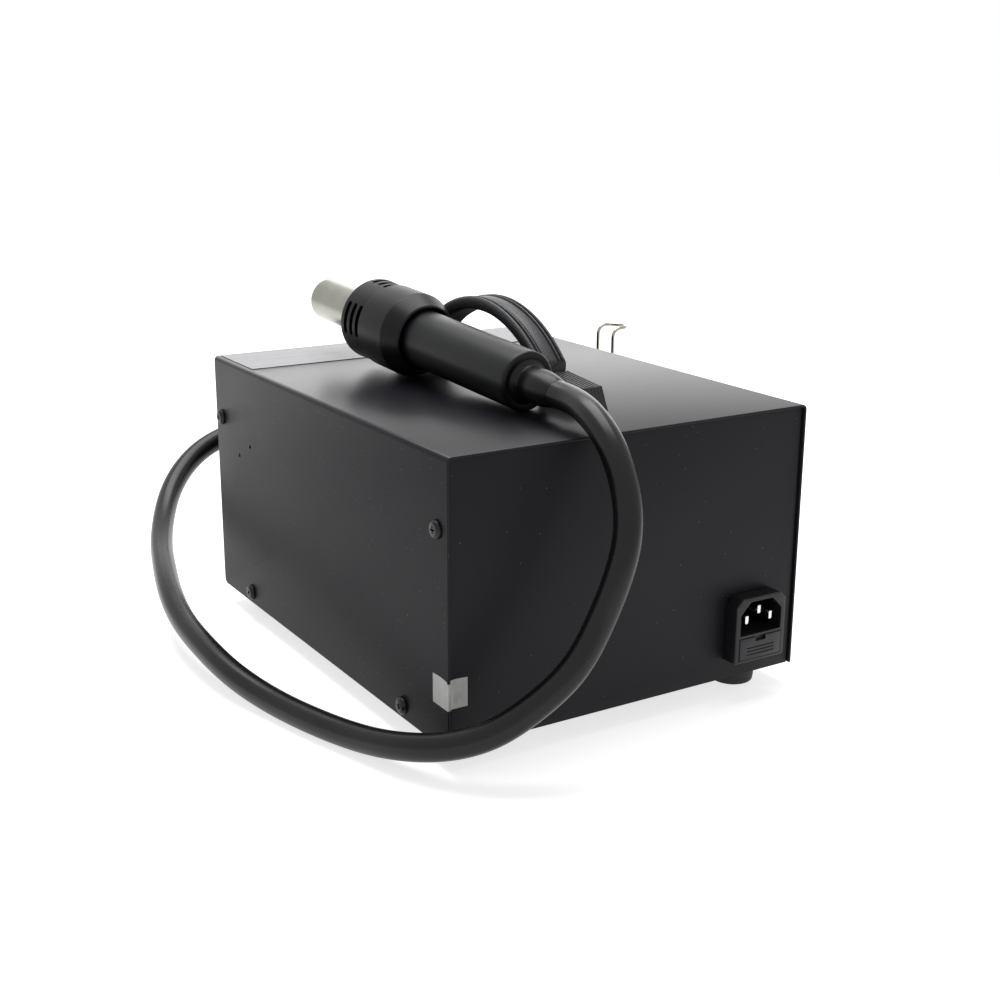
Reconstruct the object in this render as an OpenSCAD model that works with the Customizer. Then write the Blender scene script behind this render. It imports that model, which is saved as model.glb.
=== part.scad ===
// Hot air rework station: a folded steel case with a strap handle, a diaphragm air pump
// and a control board inside, and a handpiece that lies on the top at the end of its hose.
// Millimetres. +Z is up, the front panel faces -Y, and the origin is on the desk surface
// under the middle of the case.

/* [Case] */
// Width of the case
case_w = 187; // [182:1:200]
// Depth of the case
case_d = 245; // [240:1:270]
// Height of the case above its feet
case_h = 125; // [122:1:140]
// Thickness of the case sheets
sheet_t = 1.2; // [1:0.1:1.6]
// Outer radius of the cover's two long bends
bend_r = 2.4; // [2:0.1:4]
// How far the front and rear panels sit inside the cover's rim
panel_inset = 1.2; // [0.8:0.1:2]
// Depth of the ears that the cover's screws bite into
ear_depth = 14; // [13:1:20]
// Height of the tray's side flanges
flange_h = 13; // [12:1:18]

/* [Feet and screws] */
// Height of the rubber feet
foot_h = 10; // [8:1:14]
// Radius of the rubber feet at the case
foot_r = 11; // [9:0.5:13]
// Distance of the feet from the case's sides
foot_in_x = 20.5; // [16:0.5:30]
// Distance of the feet from the case's ends
foot_in_y = 18.5; // [16:0.5:24]
// Thread radius of the case screws
screw_r = 2; // [1.5:0.1:2.4]
// Head radius of the case screws
head_r = 4; // [3.4:0.1:4.6]
// Head height of the case screws
head_h = 2.4; // [1.6:0.1:3]
// Length of the case screws under the head
screw_l = 8; // [6:0.5:10]
// Upper cover screws, distance from the case's ends
upper_screw_in = 8; // [7:0.5:10]
// Upper cover screws, distance below the top
upper_screw_down = 31; // [20:1:50]
// Lower cover screws, distance from the case's ends
lower_screw_in = 39; // [34:1:60]
// Lower cover screws, height above the case's bottom edge
lower_screw_up = 6.2; // [5.4:0.1:8]

/* [Handle] */
// Place of the strap handle across the case
handle_x = -1; // [-3:0.5:0]
// Width of the strap handle
strap_w = 15.6; // [12:0.2:16]
// Outer radius of the strap's arch
arch_r = 75; // [72:1:80]
// Height of the arch above the case
arch_h = 39.9; // [37:0.1:42]
// Thickness of the soft strap at its rims
strap_t = 6.4; // [5:0.1:7]
// Half of the distance between the two ends of the soft strap
strap_half = 53.4; // [50:0.2:54]
// Distance from the middle to the far end of an end cap
cap_out = 87; // [84:0.5:95]
// Distance from the middle to the near end of an end cap
cap_in = 55.2; // [54.8:0.2:58]
// Height of an end cap at its near end
cap_h = 12.6; // [12:0.2:15]
// Thickness of the steel strip in the strap
strip_t = 1.4; // [1:0.1:1.8]
// Width of the steel strip in the strap
strip_w = 10; // [8:0.5:11]
// Thread radius of the handle bolts
handle_bolt_r = 2.5; // [2:0.1:3]

/* [Hook] */
// Wire radius of the handpiece hook
hook_wire_r = 1; // [0.8:0.1:1.2]
// Front hook hole: distance from the case's front
hook_front_in = 29.8; // [26:0.2:34]
// Front hook hole: distance below the top
hook_front_down = 47.1; // [44:0.2:60]
// Rear hook hole: distance behind the front one
hook_step_y = 14.6; // [12:0.2:18]
// Rear hook hole: distance above the front one
hook_step_z = 7.6; // [0:0.2:12]
// Reach of the hook's upright from the case's side
hook_reach = 37.7; // [34:0.1:50]
// Height of the hook's top loop above the case's top
hook_top_up = 1.5; // [-8:0.5:4]
// Bend radius of the hook at its foot
hook_foot_r = 12; // [8:0.5:16]
// Bend radius of the hook at its top
hook_top_r = 5; // [4:0.5:7]

/* [Mains inlet] */
// Distance of the inlet's middle from the case's side
inlet_inset = 26.5; // [21.5:0.5:38.5]
// Height of the inlet's lower edge above the case's bottom edge
inlet_up = 9.5; // [7:0.5:20]
// Width of the inlet's frame
inlet_w = 29; // [28:0.5:32]
// Height of the inlet's frame
inlet_h = 31; // [30.5:0.5:35]
// How far the inlet stands out of the rear panel
inlet_out = 8; // [4:0.5:10]
// How far the inlet reaches into the case
inlet_in = 30; // [26:1:40]
// Depth of the mains socket
socket_depth = 16; // [12:0.5:20]
// Depth of the fuse drawer
drawer_depth = 24; // [22.5:0.5:26]
// Radius of the fuses
fuse_r = 2.5; // [2.4:0.1:2.6]
// Length of the fuses
fuse_l = 20; // [18:0.5:20]

/* [Front panel] */
// Distance of the two knobs' middle from the case's side
knob_inset = 41.5; // [33.5:1:49.5]
// Height of the heat knob above the case's bottom edge
heat_knob_up = 88; // [82:1:96]
// Height of the air knob above the case's bottom edge
air_knob_up = 40; // [32:1:46]
// Radius of the knobs' grip
knob_r = 13; // [10:0.5:16]
// Radius of the knobs' skirt
knob_skirt_r = 16; // [14:0.5:18]
// Height of the knobs
knob_h = 16; // [13:0.5:20]
// Radius of the knobs' shafts
shaft_r = 3; // [2:0.1:3.2]
// Radius of the potentiometers
pot_r = 8; // [7:0.5:10]
// Depth of the potentiometers
pot_depth = 9; // [7:0.5:12]
// Distance of the power switch's middle from the case's side
switch_inset = 31.5; // [25.5:1:41.5]
// Height of the power switch above the case's bottom edge
switch_up = 30; // [20:1:40]
// Width of the power switch's frame
switch_w = 15; // [14.5:0.5:20]
// Height of the power switch's frame
switch_h = 21.6; // [21.4:0.2:26]
// Height of the pilot lamp above the case's bottom edge
lamp_up = 88; // [75:1:96]
// Radius of the pilot lamp
lamp_r = 3; // [2:0.1:4]

/* [Hose] */
// Place of the hose outlet across the front panel
outlet_x = 8; // [6:0.5:10]
// Height of the hose outlet above the case's bottom edge
outlet_up = 66; // [64:0.5:68]
// Outer radius of the hose
hose_r = 6; // [5:0.1:6.1]
// How far the hose outlet stands out of the front panel
outlet_out = 14.7; // [12:0.1:14.7]

/* [Handpiece] */
// Place of the vent shroud's front across the case
hand_x = 30.3; // [29.8:0.1:34]
// Place of the vent shroud's front along the case
hand_y = -61; // [-64:0.5:-59]
// Turn of the handpiece on the top, in degrees
hand_turn = 3; // [2:0.1:3.4]
// Radius of the handpiece's slotted cap at its front
shroud_r = 20.3; // [19.8:0.1:20.8]
// Radius of the shroud behind the slotted cap
shroud_rear_r = 20.5; // [20:0.1:21]
// Length of the slotted cap in front of the shroud
vent_cap_l = 18.5; // [17.5:0.5:20]
// Whole length of the shroud
shroud_l = 50; // [48:0.5:52]
// Radius of the grip where it leaves the shroud
grip_r = 13.9; // [13.6:0.1:15]
// Radius of the grip near its rear end
grip_end_r = 13.6; // [13:0.1:13.9]
// Distance from the shroud's front to the grip's rear end
grip_reach = 133; // [130:0.5:136]
// How far the hose's rubber sleeve stands out of the grip
bush_out = 21; // [16:0.5:24]
// Wall of the handpiece's plastic shells
shell_t = 2.2; // [1.6:0.1:2.6]
// Outer radius of the steel barrel
barrel_r = 11; // [10:0.1:11.2]
// Wall of the steel barrel
barrel_t = 0.7; // [0.5:0.1:1]
// How far the barrel stands out of the shroud
barrel_out = 48; // [46:0.5:58]

/* [Air pump] */
// Place of the pump across the case
pump_x = -28; // [-32:1:-28]
// Place of the pump along the case
pump_y = -10; // [-12:1:10]
// Height of the pump's rubber mounts
mount_h = 8; // [6:0.5:12]
// Half of the gap between the two swing arms
arm_gap = 22; // [21:0.5:23]
// Thickness of the swing arms
arm_t = 3; // [2:0.2:3.4]
// Height of the swing arms
arm_h = 14; // [10:0.5:16]
// Radius of the swing arms' pivots
pivot_r = 2; // [1.6:0.1:2.4]
// Radius of the pump's diaphragms
diaphragm_r = 15; // [12:0.5:16]

/* [Circuit board] */
// Width of the circuit board
board_w = 52; // [48:1:54]
// Length of the circuit board
board_l = 120; // [112:1:130]
// Thickness of the circuit board
board_t = 1.6; // [1.2:0.1:2]
// Height of the board's standoffs
standoff_h = 8; // [6:0.5:12]

/* [Hidden] */

$fn = 64;
fit = 0.05;       // radial clearance of a running shaft or a screw's thread
gap = 0.3;        // clearance between pieces that move past each other
eps = 0.5;        // overshoot of a cutting shape

// Case
half_w = case_w / 2;
half_d = case_d / 2;
base_z = foot_h;
top_z = foot_h + case_h;
in_x = half_w - sheet_t;
in_top = top_z - sheet_t;
floor_z = base_z + sheet_t;
face_y = half_d - panel_inset;
in_y = face_y - sheet_t;
corner_r = 4;
upper_y = half_d - upper_screw_in;
upper_z = top_z - upper_screw_down;
wall_cut = bend_r - sheet_t + 0.2;   // the end walls clear the inside of the cover's bends
lower_y = half_d - lower_screw_in;
lower_z = base_z + lower_screw_up;
foot_x = half_w - foot_in_x;
foot_y = half_d - foot_in_y;
panel_screw_x = 48;
panel_flange = 14;
panel_screw_y = in_y - panel_flange / 2;
panel_screw_r = 1.5;
head_drop = 3;    // depth of the foot's pocket under its screw's head

// Handle
arch_top = top_z + arch_h;
arch_z = arch_top - arch_r;
cap_end_h = cap_h - 2.4;
cap_slope = 5;
cap_wall = 2;
bolt_y = (cap_in + cap_out) / 2;
strip_r = arch_r - strap_t + 1;

// Hook
hook_front_y = -half_d + hook_front_in;
hook_rear_y = hook_front_y + hook_step_y;
hook_front_z = top_z - hook_front_down;
hook_rear_z = hook_front_z + hook_step_z;
hook_top_z = top_z + hook_top_up;
hook_upright_x = -half_w - hook_reach;
hook_tail = 5;

// Inlet
inlet_z = base_z + inlet_up;
inlet_face = face_y + inlet_out;
inlet_step = 1;   // the body behind the panel is this much smaller than its frame
drawer_w = inlet_w - 5;
drawer_h = 10.4;
drawer_z = inlet_z + 1.4;
inlet_x = -half_w + inlet_inset;
socket_w = 24;
socket_h = 15.8;
socket_z = drawer_z + drawer_h + 1.4;
socket_cut = 5.6;
pin_pitch = 7;
drawer_travel = 20;

// Front panel
front_y = -face_y;
knob_x = -half_w + knob_inset;
switch_x = half_w - switch_inset;
heat_z = base_z + heat_knob_up;
air_z = base_z + air_knob_up;
lamp_z = base_z + lamp_up;
switch_z = base_z + switch_up;
knob_gap = 0.8;
bushing_r = shaft_r + 0.9;
key_w = switch_w - 4.2;
key_r = switch_h / 2 - 1.9;
key_rim = 2;
key_tilt = 10;
key_pivot_y = front_y + 3.4;
outlet_z = base_z + outlet_up;
outlet_end = front_y - outlet_out;
outlet_flange_r = 13;
outlet_neck_r = 9.5;
nipple_r = 3.4;

// Handpiece
rear_cone_l = 11.5;
shoulder = shroud_l - rear_cone_l;
end_round = 3;
hand_tilt = asin((shroud_rear_r - grip_end_r) / (grip_reach - end_round - shoulder));
seat_gap = 0.02;  // the handpiece only just clears the cover that it lies on
barrel_in_r = barrel_r - barrel_t;
shroud_in_r = shroud_rear_r - shell_t;
cap_rear_r = shroud_rear_r - 0.9;
flange_s = -12;   // the barrel's flange, behind the shroud's front face
plate_t = 1.2;
post_ring = 13.9;
post_screw_r = 1.25;

// Pump
mount_top = floor_z + mount_h;
pump_plate_t = 2;
pump_z = mount_top + pump_plate_t;
plate_half_x = 54;
plate_half_y = 40;
leg_half = 5;
leg_out = 17;
leg_w = 6;
core_low = 6;
core_high = 32;
pole_y = -20;
pivot_y = 34;
arm_mid = (core_low + core_high) / 2;
arm_in = arm_gap;
arm_out = arm_gap + arm_t;
stud_l = 3;
box_in = arm_out + stud_l + 5;
box_w = 18;
box_half = 18;
tee_x = -10;
tee_y = -82;
tube_z = pump_z + arm_mid;
tube_r = 3.4;

// Board
board_x = in_x - 6 - board_w / 2;
board_y = 0;
board_z = floor_z + standoff_h;
board_top = board_z + board_t;
hole_x = board_w / 2 - 4;
hole_y = board_l / 2 - 4;
term_y = -board_l / 2 + 14;          // terminal block by the front edge
plug_y = board_l / 2 - 13;           // plug by the rear edge
transformer_y = plug_y - 19;
capacitor_y = term_y + 22;

// Cord, in round numbers that follow the photograph from the handpiece over the rear edge,
// round the corner on the desk and back to the front outlet
hose_route = [[24.5, 120.5, 143.5], [26, 135.5, 136], [27.5, 147.5, 123.5],
    [30.5, 156, 103.5], [36, 158, 87], [43.5, 156.5, 68], [54.5, 156, 51.5],
    [69.5, 150.5, 36], [84, 142.5, 24.5], [96, 131, 17.5], [107.5, 112, 12],
    [116.5, 85, 7.5], [125, 57, 6.5], [132, 29, 7], [138.5, 0, 10.5], [141, -29, 14.5],
    [140.5, -58, 18], [136.5, -87, 23], [129.5, -115, 27], [121, -143, 31],
    [109.5, -170, 38.5], [93, -194, 51], [71, -206.5, 64], [46, -205.5, 72.5],
    [25, -193, 76.5], [11.5, -171.5, 77]];

// Directions along a swept tube
function unit(v) = v / norm(v);
function along(p, i) = i == 0 ? unit(p[1] - p[0])
    : i == len(p) - 1 ? unit(p[i] - p[i - 1])
    : unit(unit(p[i + 1] - p[i]) + unit(p[i] - p[i - 1]));
// A side direction that is carried from ring to ring, so the tube doesn't twist
function sides(p, i = 0, last = [1, 0, 0]) = i >= len(p) ? []
    : let (d = along(p, i), s = unit(last - d * (last * d)))
      concat([s], sides(p, i + 1, s));

// A tube of radius r along the points p, as one closed solid with n sides
module swept(p, r, n, start = [1, 0, 0]) {
    s = sides(p, 0, start);
    rings = [for (i = [0:len(p) - 1])
        let (d = along(p, i), u = s[i], w = cross(d, u))
        for (k = [0:n - 1]) p[i] + r * (u * cos(360 * k / n) + w * sin(360 * k / n))];
    walls = [for (i = [0:len(p) - 2]) for (k = [0:n - 1])
        let (a = i * n + k, b = i * n + (k + 1) % n) [a, b, b + n, a + n]];
    first = [[for (k = [n - 1:-1:0]) k]];
    last = [[for (k = [0:n - 1]) (len(p) - 1) * n + k]];
    quads = concat([for (q = walls) [q[0], q[2], q[1]]], [for (q = walls) [q[0], q[3], q[2]]]);
    polyhedron(rings, concat(quads, [for (f = first) [for (k = [n - 1:-1:0]) f[k]]],
        [for (f = last) [for (k = [n - 1:-1:0]) f[k]]]));
}

// A cylinder along X, from x = a to x = b
module rod_x(a, b, r) {
    translate([min(a, b), 0, 0]) rotate([0, 90, 0]) cylinder(h = abs(b - a), r = r);
}

// A cylinder along Y, from y = a to y = b
module rod_y(a, b, r) {
    translate([0, max(a, b), 0]) rotate([90, 0, 0]) cylinder(h = abs(b - a), r = r);
}

// A box from one corner to the other
module block(a, b) {
    translate(a) cube(b - a);
}

// The eight places of the cover's screws: x side, y, z
function cover_spots() = [for (s = [-1, 1]) for (e = [-1, 1])
    for (q = [[upper_y, upper_z], [lower_y, lower_z]]) [s, e * q[0], q[1]]];

// The four places of the feet
function foot_spots() = [for (s = [-1, 1]) for (e = [-1, 1]) [s * foot_x, e * foot_y]];

// The two hook holes of one side: y, z
function hook_spots() = [[hook_front_y, hook_front_z], [hook_rear_y, hook_rear_z]];

// A closed outline with two rounded upper corners, standing on its lower edge
module arched_outline(w, h, r) {
    translate([-w / 2, 0]) square([w, h - r]);
    translate([-w / 2 + r, 0]) square([w - 2 * r, h]);
    for (s = [-1, 1]) translate([s * (w / 2 - r), h - r]) circle(r);
}

// Case

module top_cover() {
    color("#323136") difference() {
        translate([0, half_d, base_z]) rotate([90, 0, 0]) linear_extrude(case_d)
            difference() {
                arched_outline(case_w, case_h, bend_r);
                translate([0, -eps]) arched_outline(case_w - 2 * sheet_t,
                    case_h - sheet_t + eps, bend_r - sheet_t);
            }
        for (q = cover_spots()) translate([0, q[1], q[2]])
            rod_x(q[0] * (in_x - eps), q[0] * (half_w + eps), screw_r + 0.2);
        for (s = [-1, 1]) for (q = hook_spots()) translate([0, q[0], q[1]])
            rod_x(s * (in_x - eps), s * (half_w + eps), hook_wire_r + fit);
        for (e = [-1, 1]) translate([handle_x, e * bolt_y, in_top - eps])
            cylinder(h = sheet_t + 2 * eps, r = handle_bolt_r + fit);
        // the side panels' lower front corners are rounded
        translate([0, -half_d, base_z]) difference() {
            block([-half_w - 1, -1, -1], [half_w + 1, corner_r, corner_r]);
            translate([0, corner_r, corner_r]) rod_x(-half_w - 2, half_w + 2, corner_r);
        }
    }
}

module base_tray() {
    color("#2b2b2e") difference() {
        union() {
            block([-in_x, -in_y, base_z], [in_x, in_y, floor_z]);
            for (s = [-1, 1]) translate([s > 0 ? in_x - sheet_t : -in_x, 0, 0])
                block([0, -in_y + ear_depth + 2, floor_z], [sheet_t, in_y - ear_depth - 2,
                    base_z + flange_h]);
        }
        for (q = cover_spots()) if (abs(q[1]) == lower_y) translate([0, q[1], q[2]])
            rod_x(q[0] * (in_x - sheet_t - eps), q[0] * (in_x + eps), screw_r + fit);
        for (p = foot_spots()) translate([p[0], p[1], base_z - eps])
            cylinder(h = sheet_t + 2 * eps, r = screw_r + fit);
        for (s = [-1, 1]) for (e = [-1, 1])
            translate([s * panel_screw_x, e * panel_screw_y, base_z - eps])
                cylinder(h = sheet_t + 2 * eps, r = panel_screw_r + fit);
        // air slots under the pump
        for (i = [-3:3]) translate([pump_x + i * 9, pump_y, base_z - eps])
            block([-1.5, -14, 0], [1.5, 14, sheet_t + 2 * eps]);
    }
}

// One end wall with its two side ears and its lower flange, standing at +Y
module end_wall() {
    difference() {
        union() {
            translate([0, face_y, 0]) rotate([90, 0, 0]) linear_extrude(face_y - in_y)
                polygon([[-in_x, base_z], [in_x, base_z], [in_x, in_top - wall_cut],
                    [in_x - wall_cut, in_top], [-in_x + wall_cut, in_top],
                    [-in_x, in_top - wall_cut]]);
            for (s = [-1, 1]) translate([s > 0 ? in_x - sheet_t : -in_x, 0, 0])
                block([0, in_y - ear_depth, base_z + flange_h + 2], [sheet_t, in_y, in_top - 4]);
            block([-panel_screw_x - 10, in_y - panel_flange, floor_z],
                [panel_screw_x + 10, in_y, floor_z + sheet_t]);
        }
        for (s = [-1, 1]) {
            translate([0, upper_y, upper_z])
                rod_x(s * (in_x - sheet_t - eps), s * (in_x + eps), screw_r + fit);
            translate([s * panel_screw_x, panel_screw_y, floor_z - eps])
                cylinder(h = sheet_t + 2 * eps, r = panel_screw_r + fit);
        }
    }
}

module rear_panel() {
    color("#29282c") difference() {
        end_wall();
        block([inlet_x - inlet_w / 2 + inlet_step, in_y - panel_flange - eps, inlet_z + inlet_step],
            [inlet_x + inlet_w / 2 - inlet_step, face_y + eps, inlet_z + inlet_h - inlet_step]);
    }
}

module front_panel() {
    color("#2f2f33") difference() {
        rotate([0, 0, 180]) end_wall();
        for (z = [heat_z, air_z]) translate([knob_x, 0, z])
            rod_y(front_y - eps, -in_y + eps, bushing_r + fit);
        translate([outlet_x, 0, outlet_z]) rod_y(front_y - eps, -in_y + eps, outlet_neck_r + fit);
        translate([switch_x, 0, lamp_z]) rod_y(front_y - eps, -in_y + eps, lamp_r + fit);
        block([switch_x - switch_w / 2 + 1, front_y - eps, switch_z - switch_h / 2 + 1],
            [switch_x + switch_w / 2 - 1, -in_y + eps, switch_z + switch_h / 2 - 1]);
    }
}

// A pan head screw with a cross recess, its head's seat at z = 0 and its thread down
module pan_screw(r, l, hr, hh) {
    difference() {
        union() {
            translate([0, 0, -l]) cylinder(h = l, r = r);
            cylinder(h = hh * 0.6, r = hr);
            translate([0, 0, hh * 0.6]) cylinder(h = hh * 0.4, r1 = hr, r2 = hr * 0.72);
        }
        for (a = [0, 90]) rotate([0, 0, a])
            block([-hr * 0.55, -hr * 0.11, hh * 0.45], [hr * 0.55, hr * 0.11, hh + eps]);
    }
}

module cover_screws() {
    color("#1c1c1e") for (q = cover_spots()) translate([q[0] * half_w, q[1], q[2]])
        rotate([0, q[0] * 90, 0]) rotate([0, 0, 25]) pan_screw(screw_r, screw_l, head_r, head_h);
}

module panel_screws() {
    color("#8d8f92") for (s = [-1, 1]) for (e = [-1, 1])
        translate([s * panel_screw_x, e * panel_screw_y, base_z]) rotate([180, 0, 0])
            pan_screw(panel_screw_r, screw_l - 2, head_r * 0.7, head_h * 0.8);
}

module rubber_feet() {
    color("#1d1917") for (p = foot_spots()) translate([p[0], p[1], 0]) difference() {
        cylinder(h = foot_h, r1 = foot_r - 1, r2 = foot_r);
        translate([0, 0, -eps]) cylinder(h = head_drop + head_h + eps, r = head_r + 1.2);
        cylinder(h = foot_h + eps, r = screw_r + fit);
    }
}

module foot_screws() {
    color("#8d8f92") for (p = foot_spots()) translate([p[0], p[1], head_drop + head_h])
        rotate([180, 0, 0]) pan_screw(screw_r, foot_h - head_drop - head_h + 4, head_r, head_h);
}

// Handle

// The part of a ring around the arch's centre that lies over y = -half to half
module arch_band(r1, r2, w, half) {
    translate([handle_x - w / 2, 0, 0]) intersection() {
        translate([0, 0, arch_z]) rotate([90, 0, 90]) linear_extrude(w) difference() {
            circle(r2, $fn = 160);
            circle(r1, $fn = 160);
        }
        block([-1, -half, arch_z], [w + 1, half, arch_top + 1]);
    }
}

module handle_strap() {
    rim_w = 1.5;
    groove_w = 0.9;
    color("#3a3b3e") difference() {
        arch_band(arch_r - strap_t, arch_r, strap_w, strap_half);
        // the flat band between the two beads of each rim
        difference() {
            arch_band(arch_r - 0.8, arch_r + 1, strap_w - 2 * rim_w, strap_half + 1);
            for (s = [-1, 1]) translate([s * (strap_w / 2 - rim_w - groove_w - rim_w / 2), 0, 0])
                arch_band(arch_r - 2, arch_r + 2, rim_w, strap_half + 2);
        }
        arch_band(strip_r - fit, strip_r + strip_t + fit, strip_w + 2 * fit, strap_half + 1);
    }
}

// Where the strip leaves its arc in the cap's mouth, and where it meets its flat foot
strip_mid = strip_r + strip_t / 2;
strip_bend_y = cap_in + 1.8;
strip_bend_z = sqrt(strip_mid * strip_mid - strip_bend_y * strip_bend_y);
strip_slope = strip_bend_y / strip_bend_z;
strip_foot_y = strip_bend_y + (arch_z + strip_bend_z - top_z - strip_t / 2) / strip_slope;

module handle_strip() {
    color("#9a9c9f") union() {
        arch_band(strip_r, strip_r + strip_t, strip_w, strip_bend_y);
        for (e = [0, 180]) translate([handle_x, 0, 0]) rotate([0, 0, e]) {
            up = strip_t / 2 * sqrt(1 + strip_slope * strip_slope);
            rotate([90, 0, 90]) linear_extrude(strip_w, center = true) polygon([
                [strip_bend_y - 0.1, arch_z + strip_bend_z + up],
                [strip_bend_y - 0.1, arch_z + strip_bend_z - up],
                [strip_foot_y - up / strip_slope, top_z],
                [strip_foot_y + 1, top_z],
                [strip_foot_y + 0.6, top_z + strip_t]]);
            difference() {
                block([-strip_w / 2, strip_foot_y, top_z], [strip_w / 2, cap_out - 9,
                    top_z + strip_t]);
                translate([0, bolt_y, top_z - eps]) cylinder(h = strip_t + 2 * eps,
                    r = handle_bolt_r + fit);
            }
        }
    }
}

// One hollow end cap at +Y: ribbed on top and open below and towards the strap
module end_cap() {
    outline = [[cap_in, 0], [cap_out, 0], [cap_out - cap_slope, cap_end_h], [cap_in, cap_h]];
    hollow = [[cap_in - 1, -1], [cap_out - cap_wall - 1.4, -1],
        [cap_out - cap_slope - cap_wall, cap_end_h - cap_wall], [cap_in - 1, cap_h - cap_wall]];
    difference() {
        translate([0, 0, top_z]) rotate([90, 0, 90])
            linear_extrude(strap_w, center = true) polygon(outline);
        translate([0, 0, top_z]) rotate([90, 0, 90])
            linear_extrude(strap_w - 2 * cap_wall, center = true) polygon(hollow);
        // shallow grooves between the ribs of the top
        for (i = [-3:3]) translate([i * 1.6, 0, top_z]) rotate([90, 0, 90])
            linear_extrude(0.7, center = true) polygon([[cap_in + 1, cap_h + 1],
                [cap_out - cap_slope - 2, cap_end_h + 1],
                [cap_out - cap_slope - 2, cap_end_h - 0.25], [cap_in + 1, cap_h - 0.5]]);
    }
}

module handle_end_caps() {
    color("#39393c") for (e = [0, 180]) translate([handle_x, 0, 0]) rotate([0, 0, e]) end_cap();
}

bolt_head_h = 3;
nut_h = 4;

module handle_bolts() {
    color("#8d8f92") for (e = [-1, 1]) translate([handle_x, e * bolt_y, top_z + strip_t])
        pan_screw(handle_bolt_r, strip_t + sheet_t + nut_h + 2, handle_bolt_r * 1.8, bolt_head_h);
}

module handle_nuts() {
    color("#8d8f92") for (e = [-1, 1]) translate([handle_x, e * bolt_y, in_top - nut_h])
        difference() {
            cylinder(h = nut_h, r = handle_bolt_r * 1.85, $fn = 6);
            translate([0, 0, -eps]) cylinder(h = nut_h + 2 * eps, r = handle_bolt_r + fit);
        }
}

// Labels

label_t = 0.3;
label_half = half_w - 3;
label_front = -half_d + 1.5;
label_rear = -half_d + 44.5;

module top_label() {
    color("#77777b") difference() {
        block([-label_half, label_front, top_z], [label_half, label_rear, top_z + label_t]);
        // the end cap stands on the bare cover
        block([handle_x - strap_w / 2 - 1, -cap_out - 1, top_z - eps],
            [handle_x + strap_w / 2 + 1, label_rear + 1, top_z + label_t + eps]);
    }
}

seal_low = base_z + 18.5;
seal_h = 13;
seal_side = 12.2;
seal_back = 9.8;

// The seal bends round the cover's edge and down onto the rear panel
module corner_seal() {
    color("#c9c9c6") translate([0, 0, seal_low]) linear_extrude(seal_h) polygon([
        [half_w, half_d - seal_side], [half_w + label_t, half_d - seal_side],
        [half_w + label_t, half_d + label_t], [in_x - label_t, half_d + label_t],
        [in_x - label_t, face_y + label_t], [half_w - seal_back, face_y + label_t],
        [half_w - seal_back, face_y], [in_x, face_y], [in_x, half_d], [half_w, half_d]]);
}

// Hook

// A quarter of a ring of wire in the XZ plane, bend radius r, from angle a onwards
module wire_bend(r, a) {
    rotate([90, 0, 0]) rotate([0, 0, a]) rotate_extrude(angle = 90) translate([r, 0])
        circle(hook_wire_r, $fn = 24);
}

module hook_leg(y, z) {
    foot_x = hook_upright_x + hook_foot_r;
    up_x = hook_upright_x;
    translate([0, y, 0]) {
        translate([0, 0, z]) rod_x(-in_x + hook_tail, foot_x, hook_wire_r);
        translate([foot_x, 0, z + hook_foot_r]) wire_bend(hook_foot_r, 180);
        translate([up_x, 0, z + hook_foot_r])
            cylinder(h = hook_top_z - hook_top_r - z - hook_foot_r, r = hook_wire_r);
        translate([up_x - hook_top_r, 0, hook_top_z - hook_top_r]) wire_bend(hook_top_r, 0);
    }
}

module handpiece_hook() {
    color("#c4c6c8") union() {
        for (q = hook_spots()) hook_leg(q[0], q[1]);
        translate([hook_upright_x - hook_top_r, (hook_front_y + hook_rear_y) / 2, hook_top_z])
            rotate([0, 0, 90]) rotate_extrude(angle = 180) translate([hook_step_y / 2, 0])
                circle(hook_wire_r, $fn = 24);
    }
}

// Mains inlet

// The outline of the mains socket, with its two upper corners cut
module socket_outline() {
    polygon([[-socket_w / 2, 0], [socket_w / 2, 0], [socket_w / 2, socket_h - socket_cut],
        [socket_w / 2 - socket_cut, socket_h], [-socket_w / 2 + socket_cut, socket_h],
        [-socket_w / 2, socket_h - socket_cut]]);
}

module inlet_housing() {
    corner = 3.5;
    color("#232326") difference() {
        union() {
            // the frame in front of the panel, its corners cut
            translate([inlet_x, inlet_face, inlet_z]) rotate([90, 0, 0]) linear_extrude(inlet_out)
                polygon([[-inlet_w / 2, 0], [inlet_w / 2, 0], [inlet_w / 2, inlet_h - corner],
                    [inlet_w / 2 - corner, inlet_h], [-inlet_w / 2 + corner, inlet_h],
                    [-inlet_w / 2, inlet_h - corner]]);
            block([inlet_x - inlet_w / 2 + inlet_step, face_y - inlet_in, inlet_z + inlet_step],
                [inlet_x + inlet_w / 2 - inlet_step, face_y, inlet_z + inlet_h - inlet_step]);
        }
        translate([inlet_x, inlet_face + eps, socket_z]) rotate([90, 0, 0])
            linear_extrude(socket_depth + eps) socket_outline();
        block([inlet_x - drawer_w / 2 - gap, inlet_face - drawer_depth - gap, drawer_z - gap],
            [inlet_x + drawer_w / 2 + gap, inlet_face + eps, drawer_z + drawer_h + gap]);
        for (p = pin_spots()) translate([inlet_x + p[0], 0, socket_z + p[1]])
            block([-1, face_y - inlet_in - eps, -2], [1, inlet_face - socket_depth + eps, 2]);
    }
}

// The three pins of the socket: x from its middle, z from its lower edge
function pin_spots() = [[-pin_pitch, 6.8], [pin_pitch, 6.8], [0, 10.8]];

module inlet_pins() {
    color("#c9cacb") for (p = pin_spots()) translate([inlet_x + p[0], 0, socket_z + p[1]])
        block([-1, face_y - inlet_in - 6, -2], [1, inlet_face - 1.6, 2]);
}

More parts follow.
